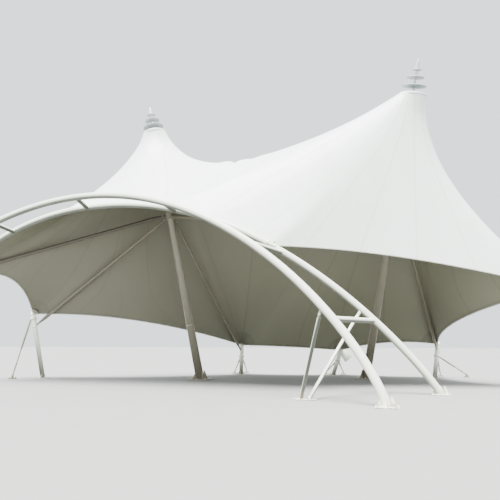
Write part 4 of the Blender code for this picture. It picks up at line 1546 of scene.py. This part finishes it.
def rod(middle, axis, anchor):
    """One tie rod from a post's collar down to its anchor plate."""
    foot = Vector((*anchor, 0.0))
    away = foot - middle
    away = (away - axis * away.dot(axis)).normalized()
    top = middle + away * ROD_TOP
    eye = foot + UP * EYE_HEIGHT
    along = (eye - top).normalized()
    length = (eye - top).length
    across = axis.cross(along)
    upper, upper_pins = fork(top + along * ROD_PIN, -along, across, ROD_FORK)
    lower, lower_pins = fork(eye, along, across, ROD_FORK)
    reach = min(length * 0.45, length - 0.9)
    tube = ((0.0, reach + 0.05), (0.03, reach + 0.05), (0.04, reach), (0.04, 0.05), (0.03, 0.0), (0.0, 0.0))
    plates, bolts = base("anchor", anchor)
    level = Vector((across.x, across.y, 0)).normalized()
    lug = block(ANCHOR_LUG, foot + UP * LUG_HEIGHT, 0.004, (level.cross(UP), level, UP))
    return [*upper, *upper_pins, *lower, *lower_pins, *plates, *bolts, lug,
            bar(top + along * (ROD_PIN + ROD_GAP), eye - along * ROD_GAP, ROD_RADIUS, sides=16),
            turned(tube, top + along * TUBE_START, along, 20),
            *turnbuckle(eye - along * TURNBUCKLE_END, along)]


class DOME_OT_stays(bpy.types.Operator):
    """Tie each post down with two rods, their turnbuckles and anchor plates"""

    bl_idname = "dome.stays"
    bl_label = "Stays"

    def execute(self, context):
        collars = []
        for name, data in POSTS.items():
            middle = post_point(name, data["stay_drop"])
            axis = (Vector(data["head"]) - post_point(name, 1.0)).normalized()
            collars.append(turned(band("rod_collar"), middle, axis, 40))
            rods = [piece for anchor in data["anchors"] for piece in rod(middle, axis, anchor)]
            deliver(rods, f"stay_pair_{name}", mast_paint, "stay_steel", f"stays_{name}")
        deliver(collars, "rod_collars", painted_steel, "painted_steel")
        return {"FINISHED"}


# Where the arch holds the cloth
def tube_clamp(side, place, directions):
    """The three bands and two ears that hold a front corner of the cloth; gives back its bolts."""
    middle = arch_point(REAR_ARCH, place)
    along = (arch_point(REAR_ARCH, place + 0.1) - arch_point(REAR_ARCH, place - 0.1)).normalized()
    across = along.cross(UP).normalized()
    up = across.cross(along)
    pieces, hardware = corner_fitting(middle, *directions)
    for offset in CLAMP_PLACES:
        pieces.append(turned(band("tube_clamp"), middle + along * offset, along, 48))
    for turn in (-1, 1):
        ear = middle + across * turn * EAR_ASIDE
        for face in (-up, up):
            pieces.append(block(CLAMP_EAR, ear + face * EAR_RISE, 0.003, (along, across, up)))
            for offset in CLAMP_PLACES:
                spot = ear + along * offset + across * turn * EAR_RISE
                hardware += bolt(spot + face * EAR_BOLT, face, EAR_BOLT)
    deliver(pieces, f"tube_clamp_{side}", painted_steel, "painted_steel", f"arch_clamp_{side}")
    return hardware


def nearest_on_tube(spot):
    """The point of the rear tube's axis that is nearest to a place."""
    axis = [arch_point(REAR_ARCH, x) for x in np.linspace(HOLD_LEFT - 0.5, HOLD_RIGHT + 0.5, 600)]
    return min(axis, key=lambda point: (point - spot).length_squared)


def front_rail(name):
    """The rail along one stretch of the cloth's front edge, with its lugs on the rear tube."""
    line = [Vector(point) for point in cloth_edge(name)][1:-1]
    pieces = [sweep(line, RAIL_RADIUS, 2)]
    for number in range(2, len(line) - 1, 3):
        spot = line[number]
        ahead = (line[number + 1] - line[number - 1]).normalized()
        towards = (nearest_on_tube(spot) - spot).normalized()
        across = towards.cross(ahead).normalized()
        pieces.append(block(RAIL_LUG, spot + towards * 0.022, 0.002, (ahead, across, towards)))
    return pieces


class DOME_OT_holds(bpy.types.Operator):
    """Clamp the cloth's two front corners to the rear tube and its front edge to a rail"""

    bl_idname = "dome.holds"
    bl_label = "Arch clamps and rail"

    def execute(self, context):
        directions = edge_directions()
        hardware = []
        for side, place in (("left", HOLD_LEFT), ("right", HOLD_RIGHT)):
            hardware += tube_clamp(side, place, directions[f"hold_{side}"])
        deliver(front_rail("front_1") + front_rail("front_2"), "front_rail", zinc, "stay_steel")
        deliver(hardware, "clamp_bolts", zinc, "stay_steel")
        return {"FINISHED"}


# Stage
def pale_floor():
    bpy.ops.mesh.primitive_plane_add(size=600, location=(0, 0, 0))
    floor = bpy.context.object
    floor.name = "floor"
    finish = Finish("floor")
    grain = finish.noise(finish.place(), 1.5, 3.0)
    floor.data.materials.append(finish.surface(base_color=finish.blend(*FLOOR, grain), roughness=0.9))


def soft_light():
    """A wide sun high in front, and an even sky."""
    bpy.ops.object.light_add(type="SUN", location=(-10, -20, 40))
    sun = bpy.context.object
    sun.data.energy = SUN["energy"]
    sun.data.angle = math.radians(SUN["angle"])
    sun.rotation_euler = [math.radians(turn) for turn in SUN["turn"]]
    world = bpy.data.worlds.new("studio")
    bpy.context.scene.world = world
    world.use_nodes = True
    background = world.node_tree.nodes["Background"]
    background.inputs["Color"].default_value = (*SKY["colour"], 1.0)
    background.inputs["Strength"].default_value = SKY["strength"]


def camera_view():
    """The camera where the photograph was taken, at eye height."""
    camera = bpy.data.cameras.new("camera")
    holder = bpy.data.objects.new("camera", camera)
    bpy.context.scene.collection.objects.link(holder)
    camera.sensor_width = 36
    camera.lens = CAMERA["focal"] * camera.sensor_width
    camera.clip_end = 500
    yaw, pitch, roll = CAMERA["yaw"], CAMERA["pitch"], CAMERA["roll"]
    ahead = Vector((math.sin(yaw) * math.cos(pitch), math.cos(yaw) * math.cos(pitch), math.sin(pitch)))
    right = Vector((math.cos(yaw), -math.sin(yaw), 0.0))
    up = right.cross(ahead)
    level = math.cos(roll) * right + math.sin(roll) * up
    upright = math.cos(roll) * up - math.sin(roll) * right
    turn = Matrix((level, upright, -ahead)).transposed()
    holder.matrix_world = Matrix.Translation(CAMERA["place"]) @ turn.to_4x4()
    bpy.context.scene.camera = holder


class DOME_OT_stage(bpy.types.Operator):
    """Set the pale floor, the soft light and the camera"""

    bl_idname = "dome.stage"
    bl_label = "Stage"

    def execute(self, context):
        deselect()
        pale_floor()
        soft_light()
        camera_view()
        return {"FINISHED"}


class DOME_PT_panel(bpy.types.Panel):
    """The steps that dress the dome"""

    bl_label = "Dome"
    bl_idname = "DOME_PT_panel"
    bl_space_type = "VIEW_3D"
    bl_region_type = "UI"
    bl_category = "Dome"

    def draw(self, context):
        for operator in OPERATORS:
            self.layout.operator(operator.bl_idname)
        for settings in (context.scene.dome_cloth, context.scene.dome_steel):
            for name in settings.bl_rna.properties.keys():
                if name not in ("rna_type", "name"):
                    self.layout.prop(settings, name)


OPERATORS = (DOME_OT_stage, DOME_OT_edges, DOME_OT_cloth, DOME_OT_peaks, DOME_OT_arch, DOME_OT_masts,
             DOME_OT_struts, DOME_OT_posts, DOME_OT_stays, DOME_OT_holds)
CLASSES = (ClothSettings, SteelSettings, *OPERATORS, DOME_PT_panel)


def register():
    for item in CLASSES:
        bpy.utils.register_class(item)
    bpy.types.Scene.dome_cloth = bpy.props.PointerProperty(type=ClothSettings)
    bpy.types.Scene.dome_steel = bpy.props.PointerProperty(type=SteelSettings)


def unregister():
    del bpy.types.Scene.dome_steel
    del bpy.types.Scene.dome_cloth
    for item in reversed(CLASSES):
        bpy.utils.unregister_class(item)


def main():
    register()
    bpy.ops.dome.stage()
    bpy.ops.dome.edges()
    bpy.ops.dome.cloth()
    bpy.ops.dome.peaks()
    bpy.ops.dome.arch()
    bpy.ops.dome.masts()
    bpy.ops.dome.struts()
    bpy.ops.dome.posts()
    bpy.ops.dome.stays()
    bpy.ops.dome.holds()


if __name__ == "__main__":
    main()
